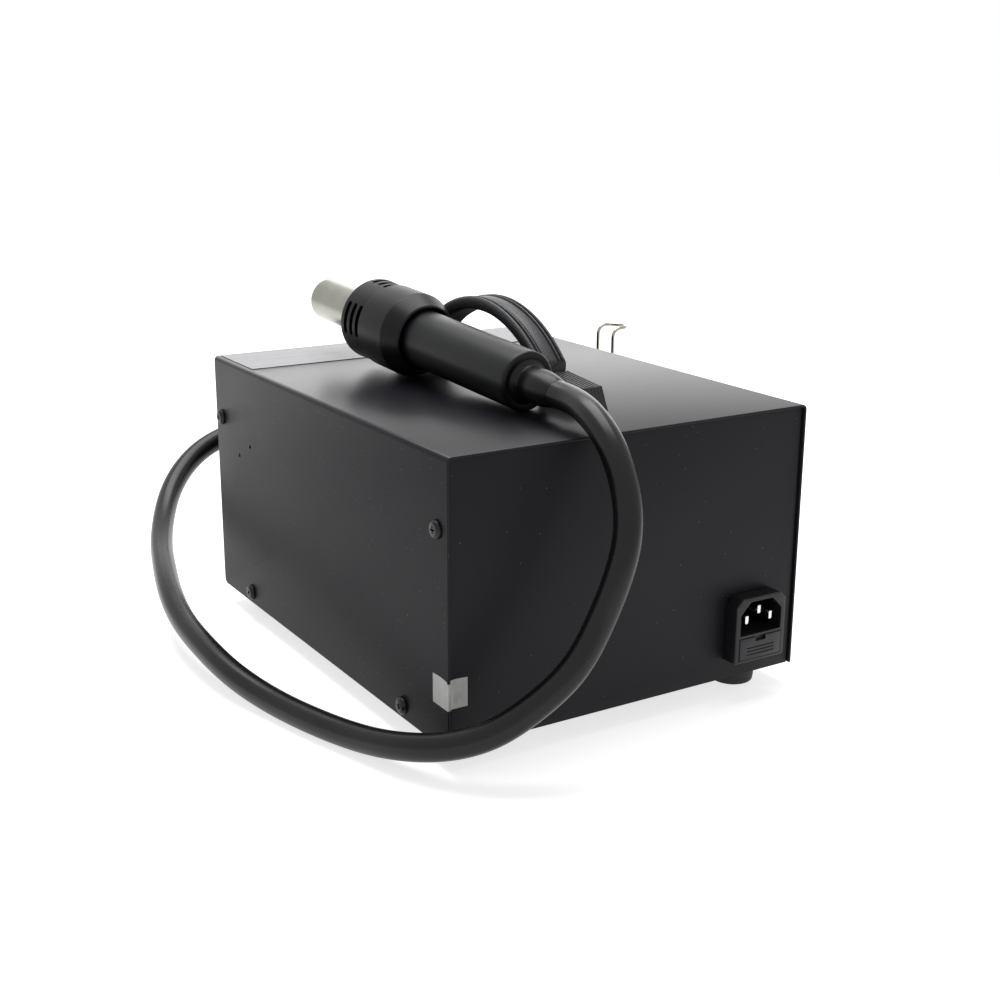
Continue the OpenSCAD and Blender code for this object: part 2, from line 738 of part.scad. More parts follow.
module fuse_drawer() {
    low = drawer_z;
    color("#2a2a2d") difference() {
        block([inlet_x - drawer_w / 2, inlet_face - drawer_depth, low],
            [inlet_x + drawer_w / 2, inlet_face + 0.4, low + drawer_h]);
        // two troughs for the fuse and its spare
        for (k = [0, 1]) translate([inlet_x, fuse_y(k), low + fuse_z]) {
            rod_x(-fuse_l / 2 - 0.2, fuse_l / 2 + 0.2, fuse_r + fit);
            block([-fuse_l / 2 - 0.2, -fuse_r - fit, 0],
                [fuse_l / 2 + 0.2, fuse_r + fit, drawer_h]);
        }
        // finger recess and ribs of the front
        block([inlet_x - 3, inlet_face - 1.4, low + drawer_h - 2.2],
            [inlet_x + 3, inlet_face + 1, low + drawer_h + eps]);
        for (z = [2, 3.6]) block([inlet_x - 8, inlet_face - 0.2, low + z],
            [inlet_x + 8, inlet_face + 1, low + z + 0.6]);
    }
}

fuse_z = fuse_r + 1.6;
function fuse_y(k) = inlet_face - 7 - k * (2 * fuse_r + 5);

module fuses() {
    color("#b9c4c4") for (k = [0, 1]) translate([inlet_x, fuse_y(k), drawer_z + fuse_z])
        rod_x(-fuse_l / 2, fuse_l / 2, fuse_r);
}

// Front controls

module switch_body() {
    w = switch_w;
    h = switch_h;
    color("#1f1f21") translate([switch_x, 0, switch_z]) difference() {
        union() {
            block([-w / 2, front_y - key_rim, -h / 2], [w / 2, front_y, h / 2]);
            block([-w / 2 + 1, front_y, -h / 2 + 1], [w / 2 - 1, front_y + 20, h / 2 - 1]);
            for (z = [-6, 0, 6]) block([-2.4, front_y + 20, z - 0.4],
                [2.4, front_y + 26, z + 0.4]);
        }
        block([-key_w / 2 - gap, front_y - key_rim - eps, -key_r - gap],
            [key_w / 2 + gap, key_pivot_y + key_r, key_r + gap]);
        translate([0, key_pivot_y, 0]) rod_x(-key_w / 2 - 1.6, key_w / 2 + 1.6, 1.2 + fit);
    }
}

module rocker_key() {
    color("#161617") translate([switch_x, key_pivot_y, switch_z]) rotate([key_tilt, 0, 0]) {
        // the rocker's two faces meet in a shallow valley at its middle
        rotate([90, 0, 90]) linear_extrude(key_w, center = true) polygon([
            [-6.2, -6.2], [-5.2, 0], [-6.2, 6.2], [-1, 7.6], [3, 3], [3, -3], [-1, -7.6]]);
        rod_x(-key_w / 2 - 1.3, key_w / 2 + 1.3, 1.2);
    }
}

module pilot_lamp() {
    color("#a8332c") translate([switch_x, 0, lamp_z]) difference() {
        union() {
            rod_y(front_y - 1.2, front_y, lamp_r + 1.4);
            rod_y(front_y - 2.4, -in_y + 8, lamp_r);
        }
        rod_y(-in_y + 1, -in_y + 8 + eps, lamp_r - 1);
    }
}

// A potentiometer behind the panel, with its bushing through the panel
module control(z) {
    translate([knob_x, 0, z]) difference() {
        union() {
            rod_y(-in_y, -in_y + pot_depth, pot_r);
            rod_y(front_y - 4, -in_y, bushing_r);
            block([-6, -in_y + 3, -pot_r - 6], [6, -in_y + 4, -pot_r + 2]);
        }
        rod_y(front_y - 4 - eps, -in_y + pot_depth - 2, shaft_r + fit);
    }
}

module air_control() { color("#5d7a5a") control(air_z); }
module heat_control() { color("#5d7a5a") control(heat_z); }

module control_nuts() {
    color("#b9bbbd") for (z = [air_z, heat_z]) translate([knob_x, front_y, z])
        rotate([90, 0, 0]) difference() {
            cylinder(h = 2.4, r = bushing_r + 1.9, $fn = 6);
            translate([0, 0, -eps]) cylinder(h = 2.4 + 2 * eps, r = bushing_r + fit);
        }
}

// A knob with a skirt, a fluted grip and a raised pointer, at rest at its lowest setting
module knob(z) {
    back = front_y - knob_gap;
    translate([knob_x, 0, z]) rotate([0, -135, 0]) difference() {
        union() {
            rod_y(back, back - 3, knob_skirt_r);
            rod_y(back - 3, back - knob_h, knob_r);
            block([-1, back - knob_h - 0.8, 2], [1, back - knob_h, knob_r - 1]);
        }
        rod_y(back + eps, back - 4.6, bushing_r + 3.2);
        rod_y(back, back - knob_h + 3, shaft_r);
        for (a = [0:15:345]) rotate([0, a, 0]) translate([knob_r + 0.5, 0, 0])
            rod_y(back - 3.6, back - knob_h - eps, 1.1, $fn = 16);
    }
}

module air_knob() { color("#1b1b1d") knob(air_z); }
module heat_knob() { color("#1b1b1d") knob(heat_z); }

module shaft(z) {
    translate([knob_x, 0, z]) rod_y(front_y - knob_gap - knob_h + 3, -in_y + pot_depth - 3,
        shaft_r);
}

module air_shaft() { color("#b4b6b8") shaft(air_z); }
module heat_shaft() { color("#b4b6b8") shaft(heat_z); }

// Hose outlet and hose

module hose_outlet() {
    color("#1d1d1f") translate([outlet_x, 0, outlet_z]) difference() {
        union() {
            rod_y(front_y, front_y - 4, outlet_flange_r);
            translate([0, front_y - 4, 0]) rotate([90, 0, 0])
                cylinder(h = outlet_out - 4, r1 = outlet_neck_r, r2 = hose_r + 1.6);
            rod_y(front_y, -in_y + 12, outlet_neck_r);
            rod_y(-in_y + 12, -in_y + 18, nipple_r);
        }
        rod_y(outlet_end - eps, outlet_end + 6, hose_r - 1.5);
        rod_y(outlet_end, -in_y + 18 + eps, nipple_r - 1.2);
    }
}

module outlet_nut() {
    color("#8d8f92") translate([outlet_x, -in_y, outlet_z]) rotate([-90, 0, 0]) difference() {
        cylinder(h = 5, r = outlet_neck_r + 4, $fn = 6);
        translate([0, 0, -eps]) cylinder(h = 5 + 2 * eps, r = outlet_neck_r + fit);
    }
}

// A point on the handpiece's axis, s in front of the shroud's front face
hand_dir = [sin(hand_turn) * cos(hand_tilt), -cos(hand_turn) * cos(hand_tilt), sin(hand_tilt)];
hand_at = [hand_x, hand_y, top_z + seat_gap + shroud_rear_r * cos(hand_tilt)
    + shoulder * sin(hand_tilt)];
function on_hand(s) = hand_at + s * hand_dir;

module air_hose() {
    sleeve_end = -grip_reach - bush_out;
    ends = [on_hand(sleeve_end - gap), on_hand(sleeve_end - 8)];
    tail = [[outlet_x, outlet_end - 16, outlet_z], [outlet_x, outlet_end, outlet_z]];
    color("#1f1e22") swept(concat(ends, hose_route, tail), hose_r, 12);
}

// Handpiece: its pieces are made along +Z, with the shroud's front face at z = 0

module placed() {
    translate(hand_at) rotate([0, 0, hand_turn]) rotate([90 - hand_tilt, 0, 0]) children();
}

module ring(a, b, r1, r2) {
    translate([0, 0, min(a, b)]) difference() {
        cylinder(h = abs(b - a), r = r2);
        translate([0, 0, -eps]) cylinder(h = abs(b - a) + 2 * eps, r = r1);
    }
}

module barrel() {
    color("#a9aaa6") placed() difference() {
        union() {
            ring(0.6, barrel_out, barrel_in_r, barrel_r);
            ring(flange_s, 0.6, barrel_in_r, barrel_r + 0.3);
            ring(flange_s, flange_s + plate_t, barrel_in_r, shroud_in_r - 0.2);
        }
        for (a = [30:120:270]) rotate([0, 0, a]) translate([post_ring, 0, flange_s - eps])
            cylinder(h = plate_t + 2 * eps, r = post_screw_r + fit);
    }
}

module handpiece_screws() {
    color("#8d8f92") placed() for (a = [30:120:270]) rotate([0, 0, a])
        translate([post_ring, 0, flange_s + plate_t]) pan_screw(post_screw_r, 9, 2.5, 1.8);
}

module vent_cap() {
    slot_w = 2.8;
    slot_pitch = 5.1;
    slot_arc = 46;
    slot_turn = 10;
    lip = 1.2;
    color("#2c2c30") placed() difference() {
        rotate_extrude() polygon([[barrel_r + 0.6, 0], [shroud_r - lip, 0], [shroud_r, -lip],
            [cap_rear_r, -vent_cap_l], [shroud_in_r, -vent_cap_l], [shroud_in_r, -2],
            [barrel_r + 0.6, -2]]);
        for (a = [0:90:270]) for (k = [0:2])
            rotate([0, 0, a + slot_turn - slot_arc / 2])
                translate([0, 0, -5.4 - k * slot_pitch])
                rotate_extrude(angle = slot_arc) translate([shroud_in_r - 1, -slot_w / 2])
                    square([shell_t + 2, slot_w]);
    }
}

module shroud() {
    neck = grip_r + fit;
    rim_r = grip_r + 2.2;
    dish = 2.4;
    r = shroud_rear_r;
    color("#2c2c30") placed() union() {
        // the shell with its shoulder, rear cone and dished rear face round the grip
        rotate_extrude() polygon([[shroud_in_r, -vent_cap_l], [r - 0.4, -vent_cap_l],
            [r, -vent_cap_l - 0.5], [r, -shoulder], [r - 0.3, -shoulder - 1],
            [r - 1, -shoulder - 1.9], [rim_r, -shroud_l + 0.4], [rim_r - 0.4, -shroud_l],
            [rim_r - 1, -shroud_l], [neck + 0.2, -shroud_l + dish],
            [neck, -shroud_l + dish], [neck, -shroud_l + dish + 2],
            [shroud_in_r - 1.2, -shoulder], [shroud_in_r, -shoulder]]);
        // the spigot that centres the slotted cap
        ring(-vent_cap_l - 2, -vent_cap_l, shroud_in_r - 1.4, shroud_in_r + 0.4);
        ring(-vent_cap_l, -vent_cap_l + 1.2, shroud_in_r - 1.4, shroud_in_r - fit);
    }
}

module grip() {
    front = -shoulder;
    r = end_round;
    bore = grip_end_r - shell_t - 1.2;
    color("#232327") placed() difference() {
        union() {
            rotate_extrude() difference() {
                polygon([[0, front + 3], [shroud_in_r - fit, front + 3],
                    [shroud_in_r - fit, front], [grip_r, front],
                    [grip_end_r, -grip_reach + r],
                    each [for (a = [22.5:22.5:90])
                        [grip_end_r - r + r * cos(a), -grip_reach + r - r * sin(a)]],
                    [0, -grip_reach]]);
                translate([-1, -grip_reach - 1]) square([bore + 1, grip_reach + 10]);
            }
            // three posts that carry the barrel's flange
            for (a = [30:120:270]) rotate([0, 0, a]) translate([post_ring, 0, front + 2])
                cylinder(h = flange_s - front - 2, r = 2.7);
        }
        for (a = [30:120:270]) rotate([0, 0, a]) translate([post_ring, 0, flange_s - 10])
            cylinder(h = 10 + eps, r = post_screw_r + fit);
    }
}

// The rubber bush that holds the hose in the grip's mouth and swells round its end
module hose_bush() {
    bore = grip_end_r - shell_t - 1.2;
    color("#19191b") placed() translate([0, 0, -grip_reach]) union() {
        rotate_extrude() polygon([[hose_r - 1.5, 2], [hose_r + 0.6, 2], [hose_r + 0.6, 0],
            [hose_r + 1.4, -0.2 * bush_out], [hose_r + 2, -0.4 * bush_out],
            [hose_r + 2, -0.55 * bush_out], [hose_r + 1.4, -0.75 * bush_out],
            [hose_r + 0.4, -bush_out], [hose_r - 1.5, -bush_out]]);
        ring(1.5, 20, hose_r - 1.5, bore - fit);
    }
}

core_r = 7;
core_top = barrel_out - 10;

// Ceramic former: a ribbed column that stands on a round flange in the barrel
module heater_core() {
    color("#d8d2c4") placed() difference() {
        union() {
            translate([0, 0, flange_s + plate_t]) cylinder(h = 6, r = barrel_in_r - fit);
            translate([0, 0, flange_s + plate_t]) cylinder(h = core_top - flange_s, r = core_r);
        }
        for (a = [0:60:300]) rotate([0, 0, a]) translate([3.8, 0, flange_s])
            cylinder(h = core_top + 40, r = 1.1, $fn = 24);
    }
}

// The heating wire, wound round the former
module heater_coil() {
    turns = 9;
    steps = 12;
    pitch = (core_top - 8) / turns;
    color("#8a7b6c") placed() swept([for (i = [0:turns * steps]) let (a = i * 360 / steps)
        [(core_r + 0.9) * cos(a), (core_r + 0.9) * sin(a), 5 + i * pitch / steps]],
        0.7, 6, [1, 0, 0]);
}

module mica_sleeve() {
    color("#cdb98a") placed() ring(flange_s + plate_t + 6, core_top, barrel_in_r - 0.8,
        barrel_in_r - 0.3);
}

// Air pump: its own middle is at the pump's place, and its plate's top is z = 0

module at_pump() {
    translate([pump_x, pump_y, pump_z]) children();
}

module pump_mounts() {
    color("#1f1b1a") for (s = [-1, 1]) for (e = [-1, 1])
        translate([pump_x + s * (plate_half_x - 9), pump_y + e * (plate_half_y - 8), floor_z])
            cylinder(h = mount_h, r = 7);
}

module pump_base() {
    color("#9ea0a2") at_pump() union() {
        block([-plate_half_x, -plate_half_y, -pump_plate_t], [plate_half_x, plate_half_y, 0]);
        for (s = [-1, 1]) translate([s * (leg_out - leg_w / 2), 0, 0])
            block([-leg_w / 2, pole_y, 0], [leg_w / 2, -pole_y, core_low]);
        // the saddles under the valve boxes
        for (s = [-1, 1]) translate([s * (box_in + box_w / 2), 0, 0])
            block([-box_w / 2, -box_half, 0], [box_w / 2, box_half, core_low - 2]);
    }
}

module pump_core() {
    color("#6f6a64") at_pump() difference() {
        block([-leg_out, pole_y, core_low], [leg_out, -pole_y, core_high]);
        for (s = [-1, 1]) translate([s * (leg_half + leg_out - leg_w) / 2, 0, 0])
            block([-(leg_out - leg_w - leg_half) / 2, pole_y - eps, core_low - eps],
                [(leg_out - leg_w - leg_half) / 2, -pole_y - 10, core_high + eps]);
    }
}

module pump_coil() {
    side = leg_out - leg_w - 0.5;
    color("#a5502f") at_pump() difference() {
        block([-side, pole_y + 4, core_low - 4.5], [side, -pole_y - 10.5, core_high + 4.5]);
        block([-leg_half, pole_y, core_low], [leg_half, -pole_y, core_high]);
    }
}

module pump_pivots() {
    color("#b4b6b8") at_pump() for (s = [-1, 1])
        translate([s * (arm_in + arm_t / 2), pivot_y, 0]) {
            cylinder(h = core_high, r = pivot_r);
            cylinder(h = arm_mid - arm_h / 2 - gap, r = pivot_r + 2);
            translate([0, 0, arm_mid + arm_h / 2 + gap]) cylinder(h = 2, r = pivot_r + 2);
        }
}

// One swing arm at +X: a bar on its pivot, with a magnet at its free end and a stud
module pump_arm() {
    low = arm_mid - arm_h / 2;
    high = arm_mid + arm_h / 2;
    tip = pole_y - 14;
    color("#a9adb0") {
        difference() {
            union() {
                block([arm_in, tip, low], [arm_out, pivot_y, high]);
                block([leg_out - 5, tip, low], [arm_out, tip + 2.6, high]);
                translate([arm_in + arm_t / 2, pivot_y, low])
                    cylinder(h = arm_h, r = pivot_r + 2.6);
                translate([0, 0, arm_mid]) rod_x(arm_out - eps, arm_out + stud_l, 3);
            }
            translate([arm_in + arm_t / 2, pivot_y, low - eps])
                cylinder(h = arm_h + 2 * eps, r = pivot_r + fit);
        }
        // the magnet is glued to the bent tip, in front of the core's outer pole
        block([leg_out - 5, tip + 2.6, low + 1], [arm_in - 2, tip + 9, high - 1]);
    }
}

module right_pump_arm() { at_pump() pump_arm(); }
module left_pump_arm() { at_pump() mirror([1, 0, 0]) pump_arm(); }

// A rubber diaphragm at +X: a disc on the valve box and a hub that meets the arm's stud
module diaphragm() {
    color("#232020") translate([0, 0, arm_mid]) {
        rod_x(box_in - 1.6, box_in, diaphragm_r);
        rod_x(arm_out + stud_l, box_in - 1.6, 5);
    }
}

module right_diaphragm() { at_pump() diaphragm(); }
module left_diaphragm() { at_pump() mirror([1, 0, 0]) diaphragm(); }

module valve_boxes() {
    color("#3b3f45") at_pump() for (m = [0, 1]) mirror([m, 0, 0]) difference() {
        union() {
            block([box_in, -box_half, core_low - 2], [box_in + box_w, box_half, core_high + 2]);
            translate([box_in + box_w / 2, 0, arm_mid]) rod_y(-box_half, -box_half - 8, 2.6);
        }
        translate([0, 0, arm_mid]) rod_x(box_in - eps, box_in + 7, diaphragm_r - 3);
    }
}

// The silicone tubes from the two valve boxes to a tee, and from the tee to the outlet
module air_tubes() {
    port_y = pump_y - box_half - 8;
    left_x = pump_x - box_in - box_w / 2;
    right_x = pump_x + box_in + box_w / 2;
    stem_z = outlet_z;
    nipple_end = -in_y + 18;
    color("#b9b4a8") {
        swept([[left_x, port_y, tube_z], [left_x, port_y - 14, tube_z],
            [left_x + 6, port_y - 28, tube_z], [left_x + 18, tee_y + 2, tube_z],
            [left_x + 32, tee_y, tube_z], [tee_x - 10, tee_y, tube_z]], tube_r, 8, [0, 0, 1]);
        swept([[right_x, port_y, tube_z], [right_x, port_y - 10, tube_z],
            [right_x - 5, port_y - 18, tube_z], [tee_x + 6, tee_y + 22, tube_z],
            [tee_x, tee_y + 16, tube_z], [tee_x, tee_y + 10, tube_z]], tube_r, 8, [0, 0, 1]);
        swept([[tee_x, tee_y, tube_z + 10], [tee_x, tee_y, tube_z + 18],
            [tee_x + 3, tee_y - 2, stem_z - 9], [outlet_x - 6, tee_y - 9, stem_z - 2],
            [outlet_x, nipple_end + 6, stem_z], [outlet_x, nipple_end, stem_z]],
            tube_r, 8, [1, 0, 0]);
        // the tee piece
        translate([tee_x, tee_y, tube_z]) union() {
            rod_x(-10, 0, 4.4);
            rod_y(0, 10, 4.4);
            cylinder(h = 10, r = 4.4);
            sphere(4.4);
        }
    }
}

// Circuit board

module at_board() {
    translate([board_x, board_y, 0]) children();
}

function board_holes() = [for (s = [-1, 1]) for (e = [-1, 1]) [s * hole_x, e * hole_y]];

module circuit_board() {
    color("#27613f") at_board() difference() {
        block([-board_w / 2, -board_l / 2, board_z], [board_w / 2, board_l / 2, board_top]);
        for (p = board_holes()) translate([p[0], p[1], board_z - eps])
            cylinder(h = board_t + 2 * eps, r = 1.5 + fit);
    }
}

module board_standoffs() {
    color("#c2b27a") at_board() for (p = board_holes()) translate([p[0], p[1], floor_z])
        difference() {
            cylinder(h = standoff_h, r = 3);
            translate([0, 0, 1]) cylinder(h = standoff_h, r = 1.5 + fit);
        }
}

module board_screws() {
    color("#8d8f92") at_board() for (p = board_holes()) translate([p[0], p[1], board_top])
        pan_screw(1.5, board_t + standoff_h - 2, 2.8, 2);
}

module control_transformer() {
    color("#c7a23a") at_board() translate([0, transformer_y, board_top]) {
        block([-16, -13, 0], [16, 13, 26]);
    }
}

module heatsink() {
    color("#9fa3a6") at_board() translate([0, -2, board_top]) union() {
        block([-18, -6, 0], [18, -3, 30]);
        for (i = [-3:3]) block([i * 5.5 - 0.8, -3, 2], [i * 5.5 + 0.8, 6, 30]);
    }
}

// Capacitors, relay, power transistor and terminal block on the board
module board_parts() {
    color("#3a5fa0") at_board() translate([0, 0, board_top]) {
        for (x = [-14, -2, 10]) translate([x, capacitor_y, 0]) cylinder(h = 18, r = 5);
        block([-22, -38 + 26, 0], [-8 + 4, -8.6, 16]);
        translate([0, term_y, 0]) block([-18, -5, 0], [18, 5, 11]);
        translate([0, plug_y, 0]) block([-12, -4, 0], [12, 4, 9]);
    }
}

// Wires: mains leads by the switch to the board, and a lead from each control
module wiring() {
    wire_r = 1.3;
    tab_y = face_y - inlet_in - 6;
    pin_z = socket_z + 6.8;
    term_face = term_y - 5.1;
    switch_back = front_y + 26;
    color("#7a4a32") {
        // live lead: inlet to switch, along the right-hand wall
        swept([[inlet_x + pin_pitch, tab_y, pin_z], [inlet_x + pin_pitch, tab_y - 8, pin_z],
            [-40, 72, 44], [0, 66, 58], [24, 40, 62], [26, -40, 62], [40, -70, 56],
            [switch_x, switch_back + 12, switch_z + 10], [switch_x, switch_back + 6, switch_z + 6],
            [switch_x, switch_back, switch_z + 6]], wire_r, 8, [0, 0, 1]);
        // from the switch to the board
        swept([[switch_x, switch_back, switch_z - 6], [switch_x, switch_back + 8, switch_z - 6],
            [board_x + 4, term_face - 12, board_top + 7], [board_x + 4, term_face - 5, board_top + 5],
            [board_x + 4, term_face, board_top + 5]], wire_r, 8, [0, 0, 1]);
        // neutral lead: inlet to board
        swept([[inlet_x - pin_pitch, tab_y, pin_z], [inlet_x - pin_pitch, tab_y - 12, pin_z],
            [-50, 64, 34], [0, 60, 52], [board_x - 16, plug_y + 13, board_top + 16],
            [board_x - 8, plug_y + 12, board_top + 6], [board_x - 8, plug_y + 8, board_top + 5],
            [board_x - 8, plug_y + 4.1, board_top + 5]], wire_r, 8, [0, 0, 1]);
        // leads of the two controls
        for (z = [air_z, heat_z]) swept([[knob_x, -in_y + 4, z - pot_r - 4],
            [knob_x, -in_y + 12, z - pot_r - 6], [knob_x + 14, -in_y + 18, 58],
            [0, -in_y + 26, 54], [22, -70, 50], [board_x - 14, term_face - 10, board_top + 10],
            [board_x - (z > air_z ? 14 : 10), term_face - 4, board_top + 5],
            [board_x - (z > air_z ? 14 : 10), term_face, board_top + 5]], wire_r, 8, [0, 0, 1]);
    }
}

top_cover();
base_tray();
front_panel();
rear_panel();
cover_screws();
panel_screws();
rubber_feet();
foot_screws();
handle_strap();
handle_strip();
handle_end_caps();
handle_bolts();
handle_nuts();
top_label();
corner_seal();
handpiece_hook();
inlet_housing();
inlet_pins();
fuse_drawer();
fuses();
switch_body();
rocker_key();
pilot_lamp();
air_control();
heat_control();
control_nuts();
air_knob();
heat_knob();
air_shaft();
heat_shaft();
hose_outlet();
outlet_nut();
air_hose();
pump_base();
pump_mounts();
pump_core();
pump_coil();
pump_pivots();
left_pump_arm();
right_pump_arm();
left_diaphragm();
right_diaphragm();
valve_boxes();
air_tubes();
circuit_board();
board_standoffs();
board_screws();
control_transformer();
heatsink();
board_parts();
wiring();
barrel();
vent_cap();
shroud();
grip();
handpiece_screws();
hose_bush();
heater_core();
heater_coil();
mica_sleeve();
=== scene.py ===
"""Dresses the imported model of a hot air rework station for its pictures.

Each operator makes one group of pieces over the imported frame, in metres, in the model's
own axes: +Z is up, the front panel faces -Y, and the origin lies on the desk.
"""

import math

import bmesh
import bpy
from mathutils import Matrix, Vector


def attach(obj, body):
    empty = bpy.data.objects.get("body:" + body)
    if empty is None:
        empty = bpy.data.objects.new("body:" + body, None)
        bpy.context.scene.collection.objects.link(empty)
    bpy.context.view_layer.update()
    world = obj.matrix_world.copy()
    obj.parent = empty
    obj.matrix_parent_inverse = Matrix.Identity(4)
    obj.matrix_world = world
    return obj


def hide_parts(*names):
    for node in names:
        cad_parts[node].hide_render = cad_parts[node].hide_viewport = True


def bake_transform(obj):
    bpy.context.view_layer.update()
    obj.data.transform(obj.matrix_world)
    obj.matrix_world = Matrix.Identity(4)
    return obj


bl_info = {
    "name": "Hot Air Rework Station",
    "version": (1, 0, 0),
    "blender": (4, 5, 0),
    "location": "3D Viewport > Sidebar > Station",
    "description": "Builds the visible pieces of a hot air rework station",
    "category": "Object",
}

MM = 0.001
FULL_TURN = 2 * math.pi
MERGE = 1e-7  # points closer than this become one
LONGEST_CUT = 0.49  # the share of a side that the rounding of a corner may take

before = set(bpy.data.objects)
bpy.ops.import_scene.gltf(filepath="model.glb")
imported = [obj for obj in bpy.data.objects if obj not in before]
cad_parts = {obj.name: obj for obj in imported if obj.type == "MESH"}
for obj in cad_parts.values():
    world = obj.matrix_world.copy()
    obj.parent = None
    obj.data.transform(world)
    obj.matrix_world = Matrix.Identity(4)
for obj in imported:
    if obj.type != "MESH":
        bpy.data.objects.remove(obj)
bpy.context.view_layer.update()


# Settings


def size(name, default, description, low=0.0):
    """A length property, with its default in millimetres."""
    return bpy.props.FloatProperty(name=name, description=description, default=default * MM,
                                   min=low, max=1.0, subtype="DISTANCE", unit="LENGTH")


def slant(name, default, description):
    """An angle property, with its default in degrees."""
    return bpy.props.FloatProperty(name=name, description=description,
                                   default=math.radians(default), subtype="ANGLE")


class CaseSettings(bpy.types.PropertyGroup):
    """Sizes of the folded case, its feet, screws and stickers."""

    half_width: size("Half width", 93.5, "From the middle to the outside of a side")
    half_depth: size("Half depth", 122.5, "From the middle to the cover's rim")
    bottom: size("Bottom", 10.0, "Height of the case's lower edge")
    top: size("Top", 135.0, "Height of the case's top")
    sheet: size("Sheet", 1.2, "Thickness of the folded sheets")
    bend: size("Bend", 2.4, "Outer radius of the cover's long bends")
    inset: size("Inset", 1.2, "Depth of the end walls inside the cover's rim")
    foot_radius: size("Foot radius", 11.0, "Radius of a rubber foot at the case")
    screw_head: size("Screw head", 4.0, "Radius of a case screw's head")


class HandleSettings(bpy.types.PropertyGroup):
    """Sizes of the strap handle."""

    place: size("Place", -1.0, "Place of the handle across the case", low=-1.0)
    width: size("Width", 15.6, "Width of the strap")
    radius: size("Radius", 75.0, "Outer radius of the strap's arch")
    rise: size("Rise", 39.9, "Height of the arch above the case")
    thickness: size("Thickness", 6.4, "Thickness of the strap")
    reach: size("Reach", 53.4, "From the middle to the strap's end")
    cap_near: size("Cap near end", 55.2, "From the middle to a cap's near end")
    cap_far: size("Cap far end", 87.0, "From the middle to a cap's far end")
    cap_height: size("Cap height", 12.6, "Height of a cap at its near end")


class HandpieceSettings(bpy.types.PropertyGroup):
    """Sizes and place of the handpiece that lies on the case."""

    front: bpy.props.FloatVectorProperty(
        name="Front",
        description="Middle of the vent cap's front face",
        default=(0.0303, -0.061, 0.1583649),
        subtype="XYZ",
        unit="LENGTH",
    )
    turn: slant("Turn", 3.0, "Turn of the handpiece on the case")
    tilt: slant("Tilt", 4.32477, "How far the barrel points up")
    vent_radius: size("Vent radius", 20.3, "Radius of the vent cap at its front")
    shoulder_radius: size("Shoulder radius", 20.5, "Radius of the shroud behind the cap")
    vent_length: size("Vent length", 18.5, "Length of the slotted cap")
    shroud_length: size("Shroud length", 50.0, "Length of cap and shroud together")
    cone_length: size("Cone length", 11.5, "Length of the shroud's rear cone")
    grip_radius: size("Grip radius", 13.9, "Radius of the grip at the shroud")
    grip_end: size("Grip end", 13.6, "Radius of the grip near its rear end")
    reach: size("Reach", 133.0, "From the vent cap's front to the grip's rear end")
    sleeve: size("Sleeve", 21.0, "How far the hose's rubber sleeve stands out of the grip")
    barrel_radius: size("Barrel radius", 11.0, "Outer radius of the barrel")
    barrel_length: size("Barrel length", 48.0, "How far the barrel stands out")


class HoseSettings(bpy.types.PropertyGroup):
    """Size of the air hose and place of its outlet."""

    radius: size("Radius", 6.0, "Outer radius of the hose")
    outlet_x: size("Outlet across", 8.0, "Place of the outlet across the front")
    outlet_z: size("Outlet height", 76.0, "Height of the outlet's middle")
    outlet_y: size("Outlet end", -136.0, "Where the outlet's sleeve ends", low=-1.0)


class FrontSettings(bpy.types.PropertyGroup):
    """Places of the controls on the front wall."""

    knob_x: size("Knobs across", -52.0, "Place of both knobs across the front", low=-1.0)
    heat_z: size("Heat knob height", 98.0, "Height of the heat knob's middle")
    air_z: size("Air knob height", 50.0, "Height of the air knob's middle")
    knob_radius: size("Knob radius", 13.0, "Radius of a knob's grip")
    skirt_radius: size("Skirt radius", 16.0, "Radius of a knob's skirt")
    switch_x: size("Switch across", 62.0, "Place of switch and lamp across the front")
    switch_z: size("Switch height", 40.0, "Height of the switch's middle")
    lamp_z: size("Lamp height", 98.0, "Height of the lamp's middle")


class InletSettings(bpy.types.PropertyGroup):
    """Sizes of the mains inlet."""

    place: size("Place", -67.0, "Place of the inlet across the rear", low=-1.0)
    bottom: size("Bottom", 19.5, "Height of the frame's lower edge")
    width: size("Width", 29.0, "Width of the frame")
    height: size("Height", 31.0, "Height of the frame")
    face: size("Face", 129.3, "Where the frame's face lies")


SETTINGS = (
    ("case", CaseSettings),
    ("handle", HandleSettings),
    ("handpiece", HandpieceSettings),
    ("hose", HoseSettings),
    ("front", FrontSettings),
    ("inlet", InletSettings),
)


def settings(context, name):
    """One of the station's groups of settings."""
    return getattr(context.scene, "station_" + name)


# Outlines and places


def mm(*values):
    """Millimetres as metres."""
    return [value * MM for value in values]


def scaled(points, rise=0.0):
    """An outline in millimetres as metres, raised in metres."""
    return [(x * MM, y * MM + rise) for x, y in points]


def rect(x0, y0, x1, y1, grow=0.0):
    """The four corners of a rectangle, moved out by grow."""
    x0, y0, x1, y1 = x0 - grow, y0 - grow, x1 + grow, y1 + grow
    return [(x0, y0), (x1, y0), (x1, y1), (x0, y1)]


def mirrored(points):
    """The points and their mirror images in the Y axis, in the order of one outline."""
    return points + [(-x, y) for x, y in reversed(points) if x]


def arc(x, y, radius, start, end, steps):
    """Points from one angle to another round (x, y), in degrees, both ends among them."""
    angles = [math.radians(start + (end - start) * k / steps) for k in range(steps + 1)]
    return [(x + radius * math.cos(a), y + radius * math.sin(a)) for a in angles]


